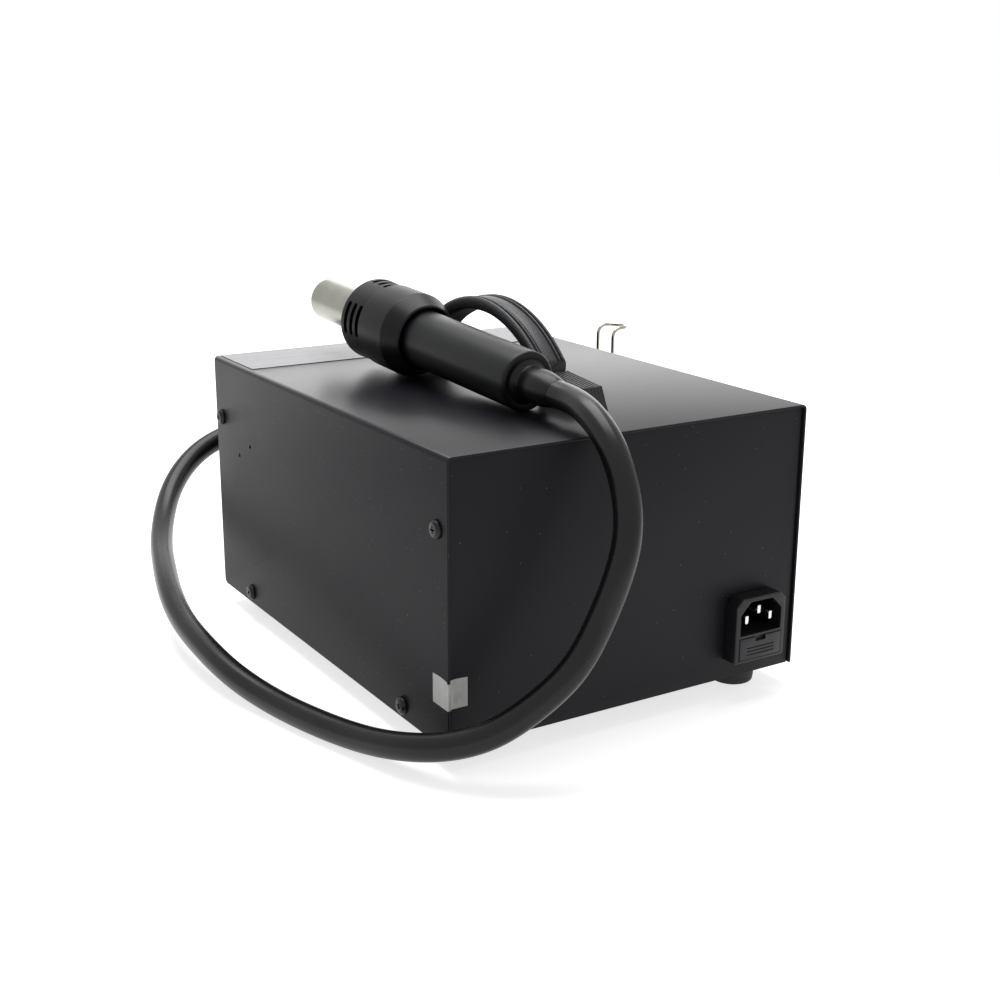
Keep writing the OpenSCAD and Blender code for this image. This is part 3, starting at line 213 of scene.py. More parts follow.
def rounded(points, radii, steps=4):
    """The closed outline with each corner rounded to its own radius."""
    out = []
    for i, radius in enumerate(radii):
        if radius <= 0:
            out.append(points[i])
            continue
        here = Vector(points[i])
        to_last = Vector(points[i - 1]) - here
        to_next = Vector(points[(i + 1) % len(points)]) - here
        half = to_last.angle(to_next) / 2
        cut = min(radius / math.tan(half), LONGEST_CUT * to_last.length,
                  LONGEST_CUT * to_next.length)
        to_last.normalize()
        to_next.normalize()
        away = cut * math.tan(half) / math.sin(half)
        centre = here + (to_last + to_next).normalized() * away
        a = here + to_last * cut - centre
        b = here + to_next * cut - centre
        turn = a.angle_signed(b)
        for k in range(steps + 1):
            c, s = math.cos(-turn * k / steps), math.sin(-turn * k / steps)
            out.append((centre.x + a.x * c - a.y * s, centre.y + a.x * s + a.y * c))
    return out


def turned(degrees, axis):
    return Matrix.Rotation(math.radians(degrees), 4, axis)


def along_x(x, y, z, side=1):
    """Turns +Z towards +X, or towards -X for side -1, from the given point."""
    return Matrix.Translation((x, y, z)) @ turned(side * 90, "Y")


def along_y(x, z):
    """Turns +Z towards -Y, round a line through (x, z)."""
    return Matrix.Translation((x, 0, z)) @ turned(90, "X")


# an outline in XY comes to stand in YZ, and its depth runs along X
STANDING = Matrix(((0, 0, 1, 0), (1, 0, 0, 0), (0, 1, 0, 0), (0, 0, 0, 1)))


# Mesh helpers


def faces_of(verts):
    return list({face for vert in verts for face in vert.link_faces})


def prism(bm, outline, low, high, matrix=None):
    """A closed prism of an outline in XY, from z = low to z = high, then moved by matrix."""
    face = bm.faces.new([bm.verts.new((x, y, low)) for x, y in outline])
    made = bmesh.ops.extrude_face_region(bm, geom=[face])["geom"]
    top = [v for v in made if isinstance(v, bmesh.types.BMVert)]
    bmesh.ops.translate(bm, verts=top, vec=(0, 0, high - low))
    verts = list(set(top) | set(face.verts))
    bm.normal_update()
    if matrix is not None:
        bmesh.ops.transform(bm, matrix=matrix, verts=verts)
    return verts


def block(bm, low, high, matrix=None):
    """A closed box between two corners."""
    prism(bm, rect(low[0], low[1], high[0], high[1]), low[2], high[2], matrix)


def plate(bm, x, z, half_width, half_height, near, far):
    """A box round the point (x, z) of a wall, from y = near to y = far."""
    block(bm, (x - half_width, near, z - half_height), (x + half_width, far, z + half_height))


def lathe(bm, profile, matrix, steps):
    """Spins a closed outline of (radius, height) pairs round Z, then moves it by matrix."""
    before = set(bm.verts)
    verts = [bm.verts.new((r, 0, z)) for r, z in profile]
    edges = [bm.edges.new((verts[i - 1], verts[i])) for i in range(len(verts))]
    bmesh.ops.spin(bm, geom=verts + edges, cent=(0, 0, 0), axis=(0, 0, 1), angle=FULL_TURN,
                   steps=steps, use_merge=True)
    made = [v for v in bm.verts if v not in before]
    bmesh.ops.remove_doubles(bm, verts=made, dist=MERGE)
    made = [v for v in bm.verts if v not in before]
    bmesh.ops.recalc_face_normals(bm, faces=faces_of(made))
    bmesh.ops.transform(bm, matrix=matrix, verts=made)


def rod(bm, radius, low, high, matrix, steps):
    """A plain cylinder along Z, moved by matrix."""
    lathe(bm, rect(0, low, radius, high), matrix, steps)


def loft(bm, rings):
    """Joins rings of equal length into a closed skin with capped ends."""
    rows = [[bm.verts.new(p) for p in ring] for ring in rings]
    count = len(rows[0])
    for a, b in zip(rows, rows[1:]):
        for k in range(count):
            n = (k + 1) % count
            bm.faces.new((a[k], a[n], b[n], b[k]))
    bm.faces.new(rows[0][::-1])
    bm.faces.new(rows[-1])
    verts = [v for row in rows for v in row]
    bmesh.ops.recalc_face_normals(bm, faces=faces_of(verts))
    return verts


def soften(bm, width, segments, angle):
    """Bevels the edges at which the faces turn by more than angle."""
    bm.normal_update()
    edges = [e for e in bm.edges if e.calc_face_angle(0.0) > math.radians(angle)]
    bmesh.ops.bevel(bm, geom=edges, offset=width, offset_type="OFFSET", segments=segments,
                    profile=0.5, affect="EDGES", material=-1, clamp_overlap=True)


def linked(name, data):
    """A new object of the scene."""
    obj = bpy.data.objects.new(name, data)
    bpy.context.scene.collection.objects.link(obj)
    return obj


def into(bm, mesh):
    """Moves what is under construction into the mesh, with its faces turned outwards."""
    bmesh.ops.recalc_face_normals(bm, faces=bm.faces)
    bm.to_mesh(mesh)
    bm.free()


def shade(mesh, sharp):
    """Smooth faces, except at edges sharper than the given angle."""
    mesh.shade_smooth()
    mesh.set_sharp_from_angle(angle=math.radians(sharp))


def make(bm, name, material, sharp=35):
    """Turns the mesh under construction into a linked object with one material."""
    bmesh.ops.remove_doubles(bm, verts=bm.verts, dist=MERGE)
    mesh = bpy.data.meshes.new(name)
    into(bm, mesh)
    shade(mesh, sharp)
    mesh.materials.append(material)
    return linked(name, mesh)


def cutter(bm):
    """A temporary object that carve() removes again."""
    mesh = bpy.data.meshes.new("Cutter")
    into(bm, mesh)
    return linked("Cutter", mesh)


def carve(obj, cutters, sharp=35):
    """Takes the cutters' shapes out of the object and removes the cutters."""
    for tool in cutters:
        modifier = obj.modifiers.new("Cut", "BOOLEAN")
        modifier.operation = "DIFFERENCE"
        modifier.solver = "EXACT"
        modifier.object = tool
    bpy.context.view_layer.update()
    graph = bpy.context.evaluated_depsgraph_get()
    mesh = bpy.data.meshes.new_from_object(obj.evaluated_get(graph))
    obj.modifiers.clear()
    old, obj.data = obj.data, mesh
    bpy.data.meshes.remove(old)
    for tool in cutters:
        data = tool.data
        bpy.data.objects.remove(tool)
        bpy.data.meshes.remove(data)
    bm = bmesh.new()
    bm.from_mesh(mesh)
    bmesh.ops.remove_doubles(bm, verts=bm.verts, dist=10 * MERGE)
    bmesh.ops.dissolve_degenerate(bm, edges=bm.edges, dist=MERGE)
    into(bm, mesh)
    shade(mesh, sharp)


def place(obj, body, nodes, slot):
    """Lets a finished piece ride on its body and hides the CAD nodes that it stands for; slot
    is not used.
    """
    if nodes:
        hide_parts(*nodes)
    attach(obj, body)


def piece(bm, name, finish, body, nodes, slot, sharp=35, cuts=()):
    """Makes a piece of the mesh under construction, carves the cuts out and places it."""
    obj = make(bm, name, finishes[finish], sharp)
    if cuts:
        carve(obj, cuts, sharp)
    place(obj, body, nodes, slot)


# Shader helpers


def rgb(code):
    """A linear colour from an sRGB code such as #808080."""
    shares = [int(code[i:i + 2], 16) / 255 for i in (1, 3, 5)]
    return (*(c / 12.92 if c <= 0.04045 else ((c + 0.055) / 1.055) ** 2.4 for c in shares), 1.0)


def feed(tree, node, inputs):
    """Gives each named input of the node its value, or a link if that is a socket."""
    for key, value in inputs.items():
        if isinstance(value, bpy.types.NodeSocket):
            tree.links.new(value, node.inputs[key])
        else:
            node.inputs[key].default_value = value


def add(tree, kind, inputs, **options):
    """A new shader node with its options and inputs set; gives its outputs."""
    node = tree.nodes.new("ShaderNode" + kind)
    for key, value in options.items():
        setattr(node, key, value)
    feed(tree, node, inputs)
    return node.outputs


def reckon(tree, operation, *values, clamp=False):
    """One step of arithmetic on sockets and numbers."""
    return add(tree, "Math", dict(enumerate(values)), operation=operation, use_clamp=clamp)[0]


def coordinates(tree):
    return add(tree, "TexCoord", {})["Object"]


def noise(tree, scale, detail, roughness, vector):
    return add(tree, "TexNoise", {"Scale": scale, "Detail": detail, "Roughness": roughness,
                                  "Vector": vector})["Fac"]


def bump(tree, height, strength, distance):
    """The normal bent by a height."""
    return add(tree, "Bump", {"Height": height, "Strength": strength,
                              "Distance": distance})["Normal"]


def spread(tree, value, low, high, start=0.0, end=1.0):
    """Maps the values from start to end onto those from low to high."""
    return add(tree, "MapRange", {"Value": value, "From Min": start, "From Max": end,
                                  "To Min": low, "To Max": high})["Result"]


def mix_colours(tree, mask, first, second):
    return add(tree, "Mix", {0: mask, 6: first, 7: second}, data_type="RGBA")[2]


def new_group(name, **inputs):
    """A shader node group with these inputs and defaults; gives it and the inputs inside."""
    group = bpy.data.node_groups.new(name, "ShaderNodeTree")
    for title, default in inputs.items():
        kind = "NodeSocketFloat" if isinstance(default, float) else "NodeSocketVector"
        socket = group.interface.new_socket(title, in_out="INPUT", socket_type=kind)
        socket.default_value = default
    return group, group.nodes.new("NodeGroupInput").outputs


def give(group, **outputs):
    """Names what the group gives: masks and normals."""
    for title in outputs:
        kind = "NodeSocketVector" if title == "Normal" else "NodeSocketFloat"
        group.interface.new_socket(title, in_out="OUTPUT", socket_type=kind)
    feed(group, group.nodes.new("NodeGroupOutput"), outputs)


def use_group(tree, name, **inputs):
    return add(tree, "Group", inputs, node_tree=bpy.data.node_groups[name])


def make_groups():
    """The textures that the finishes share."""
    # fine raised grain
    group, given = new_group("Surface Grain", Scale=1500.0, Strength=0.2, Distance=0.1 * MM)
    height = noise(group, given["Scale"], 2.0, 0.55, coordinates(group))
    give(group, Normal=bump(group, height, given["Strength"], given["Distance"]))

    # soft uneven patches, for small changes of colour and gloss
    group, given = new_group("Soft Patches", Scale=40.0, Contrast=1.6)
    texture = noise(group, given["Scale"], 4.0, 0.6, coordinates(group))
    gain = reckon(group, "MULTIPLY", reckon(group, "SUBTRACT", texture, 0.5),
                  given["Contrast"])
    give(group, Mask=reckon(group, "ADD", gain, 0.5, clamp=True))

    # sparse small specks, such as dust on a dark surface
    group, given = new_group("Dust Specks", Scale=320.0, Size=0.06)
    cells = add(group, "TexVoronoi", {"Vector": coordinates(group), "Scale": given["Scale"]})
    near = reckon(group, "LESS_THAN", cells["Distance"], given["Size"])
    red = add(group, "SeparateColor", {"Color": cells["Color"]})["Red"]
    some = reckon(group, "GREATER_THAN", red, 0.72)
    give(group, Mask=reckon(group, "MULTIPLY", near, some))

    # fine parallel lines along one axis
    group, given = new_group("Brushed Lines", Stretch=(40.0, 3000.0, 3000.0), Strength=0.15)
    stretched = add(group, "VectorMath", {0: coordinates(group), 1: given["Stretch"]},
                    operation="MULTIPLY")[0]
    texture = noise(group, 1.0, 3.0, 0.6, stretched)
    give(group, Mask=texture, Normal=bump(group, texture, given["Strength"], 0.05 * MM))


def parts_of(material):
    """The material's node tree and its Principled BSDF."""
    return material.node_tree, material.node_tree.nodes["Principled BSDF"]


def new_material(name):
    """A material and its parts."""
    material = bpy.data.materials.new(name)
    material.use_nodes = True
    return material, *parts_of(material)


def finish_of(name, dark, light, gloss, metal=0.0, grain=None, patches=30.0, dust=0.0,
              brushed=None, specular=0.5, clear=0.0):
    """A procedural material: patchy colour and gloss over a fine grain.

    dark and light are colour codes, gloss a pair of roughness values, grain the grain's
    scale, strength and height in millimetres, and brushed the lines' stretch and strength.
    """
    material, tree, shader = new_material(name)
    mask = use_group(tree, "Soft Patches", Scale=patches)["Mask"]
    colour = mix_colours(tree, mask, rgb(dark), rgb(light))
    normal = {}
    if brushed:
        lines = use_group(tree, "Brushed Lines", Stretch=brushed[0], Strength=brushed[1])
        darker = (*(0.72 * c for c in rgb(dark)[:3]), 1.0)
        colour = mix_colours(tree, reckon(tree, "MULTIPLY", lines["Mask"], 0.5), colour, darker)
        normal["Normal"] = lines["Normal"]
    if grain:
        normal["Normal"] = use_group(tree, "Surface Grain", Scale=grain[0], Strength=grain[1],
                                     Distance=grain[2] * MM)["Normal"]
    if dust:
        specks = use_group(tree, "Dust Specks", Size=dust)["Mask"]
        colour = mix_colours(tree, specks, colour, rgb("#8b8b8b"))
    feed(tree, shader, {
        "Base Color": colour, "Metallic": metal, "Roughness": spread(tree, mask, *gloss),
        "Specular IOR Level": specular, "Transmission Weight": clear, **normal})
    return material


# material, darkest and lightest colour, range of roughness, and what else sets it apart
FINISHES = {
    "coat": ("Powder Coat", "#151419", "#18171c", (0.46, 0.5),
             {"grain": (1700, 0.08, 0.06), "dust": 0.05, "specular": 0.18}),
    "inner_coat": ("Inner Coat", "#242427", "#2a2a2d", (0.5, 0.6), {"grain": (1700, 0.2, 0.1)}),
    "black_steel": ("Black Steel", "#19191b", "#222224", (0.3, 0.42),
                    {"metal": 0.6, "grain": (2500, 0.15, 0.05)}),
    "zinc": ("Zinc Plate", "#8b8f92", "#a3a7aa", (0.28, 0.4),
             {"metal": 1.0, "grain": (2500, 0.1, 0.04)}),
    "foot": ("Foot Rubber", "#1d1917", "#26211f", (0.6, 0.72), {"grain": (1400, 0.3, 0.1)}),
    "strap": ("Strap Plastic", "#1c1d20", "#232427", (0.42, 0.52), {"specular": 0.4}),
    "cap": ("Cap Plastic", "#1f1f22", "#262629", (0.4, 0.5),
            {"grain": (1500, 0.25, 0.1), "specular": 0.35}),
    "steel": ("Rolled Steel", "#8a8c8e", "#a2a4a6", (0.3, 0.42),
              {"metal": 1.0, "brushed": ((2500, 60, 2500), 0.12)}),
    "label": ("Label Film", "#5c5b60", "#68676c", (0.3, 0.38),
              {"patches": 300, "grain": (2200, 0.1, 0.04)}),
    "seal": ("Seal Paper", "#aaaaa7", "#c2c2bf", (0.35, 0.55),
             {"metal": 0.25, "patches": 400, "grain": (2000, 0.15, 0.05)}),
    "wire": ("Bright Wire", "#8f8d82", "#a8a69b", (0.12, 0.2),
             {"metal": 1.0, "grain": (1200, 0.05, 0.03)}),
    "inlet": ("Inlet Plastic", "#18181b", "#1e1e21", (0.34, 0.42),
              {"grain": (1800, 0.12, 0.06), "specular": 0.3}),
    "drawer": ("Drawer Plastic", "#222226", "#29292d", (0.36, 0.46),
               {"grain": (1800, 0.12, 0.06), "specular": 0.35}),
    "pins": ("Nickel Pins", "#d0d1d2", "#e2e3e4", (0.14, 0.22),
             {"metal": 1.0, "grain": (2200, 0.06, 0.03)}),
    "glass": ("Fuse Glass", "#d5dfdf", "#e2ecec", (0.04, 0.08), {"clear": 0.8}),
    "key": ("Gloss Plastic", "#161618", "#1c1c1e", (0.2, 0.28), {"grain": (1500, 0.08, 0.05)}),
    "mark": ("Mark Paint", "#cfcfcd", "#dededc", (0.45, 0.55), {"grain": (2000, 0.1, 0.04)}),
    "lamp": ("Lamp Plastic", "#9c2a24", "#b53a30", (0.12, 0.2), {"clear": 0.25}),
    "control": ("Control Plastic", "#52704f", "#63825f", (0.4, 0.5), {}),
    "turned": ("Turned Aluminium", "#b0b2b4", "#c4c6c8", (0.25, 0.35),
               {"metal": 1.0, "brushed": ((2500, 80, 2500), 0.1)}),
    "hose": ("Hose Rubber", "#0c0c0e", "#111113", (0.24, 0.32),
             {"grain": (900, 0.1, 0.08), "dust": 0.035, "specular": 0.28}),
    "cast": ("Cast Aluminium", "#8e9092", "#a5a7a9", (0.4, 0.55),
             {"metal": 0.9, "grain": (900, 0.3, 0.2)}),
    "core": ("Core Laminations", "#605b55", "#77716a", (0.4, 0.5),
             {"metal": 0.8, "brushed": ((60, 60, 2600), 0.5)}),
    "coil": ("Coil Wire", "#96472a", "#b3592f", (0.25, 0.35),
             {"brushed": ((60, 60, 1800), 0.6)}),
    "box": ("Valve Box Plastic", "#34383d", "#41454b", (0.42, 0.52),
            {"grain": (1300, 0.25, 0.1)}),
    "tube": ("Silicone Tube", "#aaa599", "#c0bbaf", (0.35, 0.45), {"grain": (900, 0.1, 0.1)}),
    "board": ("Board Laminate", "#1f5436", "#2b6a45", (0.25, 0.35),
              {"patches": 120, "grain": (1500, 0.1, 0.05)}),
    "brass": ("Turned Brass", "#b39a55", "#c9b06a", (0.25, 0.35), {"metal": 1.0}),
    "tape": ("Winding Tape", "#b8942f", "#d0ab43", (0.3, 0.4), {"patches": 80}),
    "sleeve": ("Sleeved Parts", "#30518c", "#3d63a4", (0.25, 0.35), {}),
    "leads": ("Lead Sleeve", "#6d4029", "#84503a", (0.35, 0.45), {}),
    "barrel": ("Barrel Steel", "#93938a", "#a3a39a", (0.2, 0.28),
               {"metal": 1.0, "patches": 60, "brushed": ((2600, 40, 2600), 0.14)}),
    "housing": ("Housing Plastic", "#0c0b0e", "#0f0e12", (0.34, 0.42),
                {"grain": (1700, 0.15, 0.06), "dust": 0.03, "specular": 0.18}),
    "grip": ("Grip Plastic", "#0c0d0f", "#101214", (0.32, 0.4),
             {"grain": (1700, 0.16, 0.08), "dust": 0.03, "specular": 0.2}),
    "bush": ("Bush Rubber", "#0d0e10", "#121315", (0.3, 0.38),
             {"grain": (1200, 0.2, 0.1), "specular": 0.22}),
    "ceramic": ("Former Ceramic", "#cfc9bb", "#ddd7c9", (0.55, 0.65),
                {"grain": (1200, 0.2, 0.1)}),
    "mica": ("Mica Sheet", "#bfab7c", "#d2bf90", (0.25, 0.4), {"patches": 150}),
}

LABEL_LINES = (-0.1185, -0.1075, -0.0985, -0.0835)  # places of the ruled lines along Y
LINE_HALF_WIDTH = 0.28 * MM

finishes = {}


def lay_coat(material):
    """The powder coat is smoother on the faces that point up."""
    tree, shader = parts_of(material)
    normal = add(tree, "NewGeometry", {})["Normal"]
    up = add(tree, "SeparateXYZ", {0: normal})["Z"]
    rough = shader.inputs["Roughness"].links[0].from_socket
    smoother = spread(tree, up, 1.0, 0.62, 0.4, 0.9)
    feed(tree, shader, {"Roughness": reckon(tree, "MULTIPLY", rough, smoother)})


def pebble(material):
    """A close pebble grain."""
    tree, shader = parts_of(material)
    cells = add(tree, "TexVoronoi", {"Vector": coordinates(tree), "Scale": 1100.0})
    feed(tree, shader, {"Normal": bump(tree, cells["Distance"], 0.45, 0.2 * MM)})


def rule_lines(material):
    """Darker ruled lines on the label's grey field."""
    tree, shader = parts_of(material)
    along = add(tree, "SeparateXYZ", {0: coordinates(tree)})["Y"]
    lines = None
    for y in LABEL_LINES:
        line = reckon(tree, "COMPARE", along, y, LINE_HALF_WIDTH)
        lines = line if lines is None else reckon(tree, "MAXIMUM", lines, line)
    field = shader.inputs["Base Color"].links[0].from_socket
    feed(tree, shader, {"Base Color": mix_colours(tree, lines, field, rgb("#3a3a3d"))})


def make_finishes():
    """Makes all finishes of the station."""
    make_groups()
    for key, (name, dark, light, gloss, others) in FINISHES.items():
        finishes[key] = finish_of(name, dark, light, gloss, **others)
    lay_coat(finishes["coat"])
    pebble(finishes["strap"])
    rule_lines(finishes["label"])


# Operators


class StationOperator:
    """Shared by the station's operators."""

    bl_options = {"REGISTER", "UNDO"}

    def finished(self, *names):
        for name in names:
            if bpy.data.objects.get(name) is None:
                raise RuntimeError(f"{self.bl_label}: {name} was not made")
        return {"FINISHED"}


CAMERA_PLACE = (0.363905, 0.597424, 0.277934)
CAMERA_AZIMUTH, CAMERA_ELEVATION, CAMERA_ROLL = 148.18, 16.306, 0.296


class STATION_OT_camera(StationOperator, bpy.types.Operator):
    """Place the camera where the photograph was taken"""

    bl_idname = "station.camera"
    bl_label = "Camera"

    def execute(self, context):
        data = bpy.data.cameras.new("Camera")
        data.lens = 52.66
        data.sensor_width = 36.0
        data.clip_start = 0.01
        data.clip_end = 20.0
        camera = linked("Camera", data)
        camera.matrix_world = (
            Matrix.Translation(CAMERA_PLACE)
            @ turned(CAMERA_AZIMUTH, "Z")
            @ turned(90 - CAMERA_ELEVATION, "X")
            @ turned(CAMERA_ROLL, "Z")
        )
        context.scene.camera = camera
        return self.finished("Camera")


# the hose's middle line in millimetres, from behind the handpiece to before the outlet
HOSE_ROUTE = (
    (24.5, 120.5, 143.5), (26, 135.5, 136), (27.5, 147.5, 123.5), (30.5, 156, 103.5),
    (36, 158, 87), (43.5, 156.5, 68), (54.5, 156, 51.5), (69.5, 150.5, 36),
    (84, 142.5, 24.5), (96, 131, 17.5), (107.5, 112, 12), (116.5, 85, 7.5),
    (125, 57, 6.5), (132, 29, 7), (138.5, 0, 10.5), (141, -29, 14.5), (140.5, -58, 18),
    (136.5, -87, 23), (129.5, -115, 27), (121, -143, 31), (109.5, -170, 38.5),
    (93, -194, 51), (71, -206.5, 64), (46, -205.5, 72.5), (25, -193, 76.5),
    (11.5, -171.5, 77),
)


def smooth_path(points, first, last, steps):
    """Points along the cubic spline through the given ones, with both end directions held."""
    count = len(points)
    gaps = [(b - a).length for a, b in zip(points, points[1:])]
    # forward sweep and back substitution for the slopes at the points
    slopes = [first.copy() for _ in points]
    slopes[-1] = last.copy()
    ratio = [0.0] * count
    for i in range(1, count - 1):
        h0, h1 = gaps[i - 1], gaps[i]
        right = 3 * ((points[i] - points[i - 1]) * (h1 / h0)
                     + (points[i + 1] - points[i]) * (h0 / h1))
        pivot = 2 * (h0 + h1) - h1 * ratio[i - 1]
        ratio[i] = h0 / pivot
        slopes[i] = (right - h1 * slopes[i - 1]) / pivot
    for i in range(count - 2, 0, -1):
        slopes[i] = slopes[i] - ratio[i] * slopes[i + 1]
    out = []
    for i in range(count - 1):
        h, p, q = gaps[i], points[i], points[i + 1]
        for t in (k / steps for k in range(steps)):
            out.append(
                (1 + 2 * t) * (1 - t) ** 2 * p
                + t * (1 - t) ** 2 * h * slopes[i]
                + t * t * (3 - 2 * t) * q
                + t * t * (t - 1) * h * slopes[i + 1]
            )
    out.append(points[-1])
    return out


def tube_rings(path, radius, sides, start):
    """Rings of points round a path, without twist."""
    rings = []
    side = Vector(start)
    for i, point in enumerate(path):
        ahead = path[min(i + 1, len(path) - 1)] - path[max(i - 1, 0)]
        ahead.normalize()
        side = (side - ahead * side.dot(ahead)).normalized()
        other = ahead.cross(side)
        rings.append([point + radius * (side * math.cos(a) + other * math.sin(a))
                      for a in (FULL_TURN * k / sides for k in range(sides))])
    return rings


def handpiece_matrix(hand):
    """From the handpiece's own axis, +Z towards the barrel's tip, to its place."""
    return (
        Matrix.Translation(hand.front)
        @ Matrix.Rotation(hand.turn, 4, "Z")
        @ Matrix.Rotation(math.radians(90) - hand.tilt, 4, "X")
    )


class STATION_OT_hose(StationOperator, bpy.types.Operator):
    """Lay the air hose from the handpiece round the case to the front outlet"""

    bl_idname = "station.hose"
    bl_label = "Air Hose"

    def execute(self, context):
        hand, hose = settings(context, "handpiece"), settings(context, "hose")
        place_of = handpiece_matrix(hand)
        starts = [place_of @ Vector((0, 0, -hand.reach - hand.sleeve - d * MM))
                  for d in (0.1, 8)]
        ends = [Vector((hose.outlet_x, hose.outlet_y - d * MM, hose.outlet_z))
                for d in (16, 0)]
        points = starts + [Vector(p) * MM for p in HOSE_ROUTE] + ends
        leaving = (starts[1] - starts[0]).normalized()
        path = smooth_path(points, leaving, Vector((0, 1, 0)), 8)
        bm = bmesh.new()
        loft(bm, tube_rings(path, hose.radius, 32, (1, 0, 0)))
        obj = make(bm, "air_hose_tube", finishes["hose"], 60)
        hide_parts("air_hose")
        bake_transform(obj)
        return self.finished("air_hose_tube")


HOOK_HOLES = ((-0.0927, 0.0879), (-0.0781, 0.0955))  # y and z, front hole first
BEYOND = 0.2  # farther out than any part of the case
WITHIN, WITHOUT = 0.1, 0.14  # farther in and farther out than its end walls


class STATION_OT_case(StationOperator, bpy.types.Operator):
    """Fold the cover and the two end walls of the case"""

    bl_idname = "station.case"
    bl_label = "Case"

    def cover(self, case):
        """One bent sheet: the top and both sides, with two hook holes through each side."""
        w, d, low, top, r = (case.half_width, case.half_depth, case.bottom, case.top,
                             case.bend)
        outer, inner = (
            rounded(mirrored([(-w + t, low), (-w + t, top - t)]), [0, r - t, r - t, 0], steps)
            for t, steps in ((0, 8), (case.sheet, 6)))
        bm = bmesh.new()
        prism(bm, outer + inner[::-1], -d, d, turned(90, "X"))
        soften(bm, 0.35 * MM, 2, 60)
        holes = bmesh.new()
        for y, z in HOOK_HOLES:
            rod(holes, 1.05 * MM, -BEYOND, BEYOND, along_x(0, y, z), 32)
        # the lower front corners are round
        corners, r, over = bmesh.new(), 4 * MM, 1 * MM
        outline = [(-d - over, low - over), *arc(-d + r, low + r, r, 180, 270, 10),
                   (-d + r, low - over)]
        prism(corners, outline, -w - over, w + over, STANDING)
        piece(bm, "cover_sheet", "coat", "station", ["top_cover"], "black_coat", 40,
              [cutter(holes), cutter(corners)])

    def wall(self, case, name, node, front, opening):
        """One end wall with its ears, folded from one sheet, its edges softened."""
        t, low, high = case.sheet, case.bottom, case.top - case.sheet
        face, side = case.half_depth - case.inset, case.half_width - case.sheet
        ear = face - t - 14 * MM
        bm = bmesh.new()
        section = (mirrored([(-side, ear), (-side, face)])
                   + mirrored([(side - t, ear), (side - t, face - t)]))
        prism(bm, rounded(section, [0, t, t, 0, 0, 0.2 * MM, 0.2 * MM, 0], 5), low, high)
        soften(bm, 0.2 * MM, 2, 50)
        if front:
            bmesh.ops.transform(bm, matrix=turned(180, "Z"), verts=bm.verts)
        # the ears end above the tray's flanges and below the cover's bends
        ends = bmesh.new()
        for below, above in ((low - 1 * MM, low + 15 * MM), (high - 4 * MM, high + 1 * MM)):
            block(ends, (-BEYOND, -face + t, below), (BEYOND, face - t, above))
        piece(bm, name, "coat", "station", [node], "black_coat", 40, [opening, cutter(ends)])

    def inlet_hole(self, inlet):
        bm = bmesh.new()
        edge = 1.2 * MM
        block(bm, (inlet.place - inlet.width / 2 + edge, WITHIN, inlet.bottom + edge),
              (inlet.place + inlet.width / 2 - edge, BEYOND,
               inlet.bottom + inlet.height - edge))
        return cutter(bm)

    def front_holes(self, front, hose):
        bm = bmesh.new()
        for x, z, r in ((front.knob_x, front.heat_z, 3.95), (front.knob_x, front.air_z, 3.95),
                        (hose.outlet_x, hose.outlet_z, 9.55),
                        (front.switch_x, front.lamp_z, 3.05)):
            rod(bm, r * MM, WITHIN, WITHOUT, along_y(x, z), 48)
        plate(bm, front.switch_x, front.switch_z, 6.5 * MM, 9.8 * MM, -WITHOUT, -WITHIN)
        return cutter(bm)

    def execute(self, context):
        case, inlet = settings(context, "case"), settings(context, "inlet")
        front, hose = settings(context, "front"), settings(context, "hose")
        self.cover(case)
        self.wall(case, "rear_wall", "rear_panel", False, self.inlet_hole(inlet))
        self.wall(case, "front_wall", "front_panel", True, self.front_holes(front, hose))
        return self.finished("cover_sheet", "rear_wall", "front_wall")


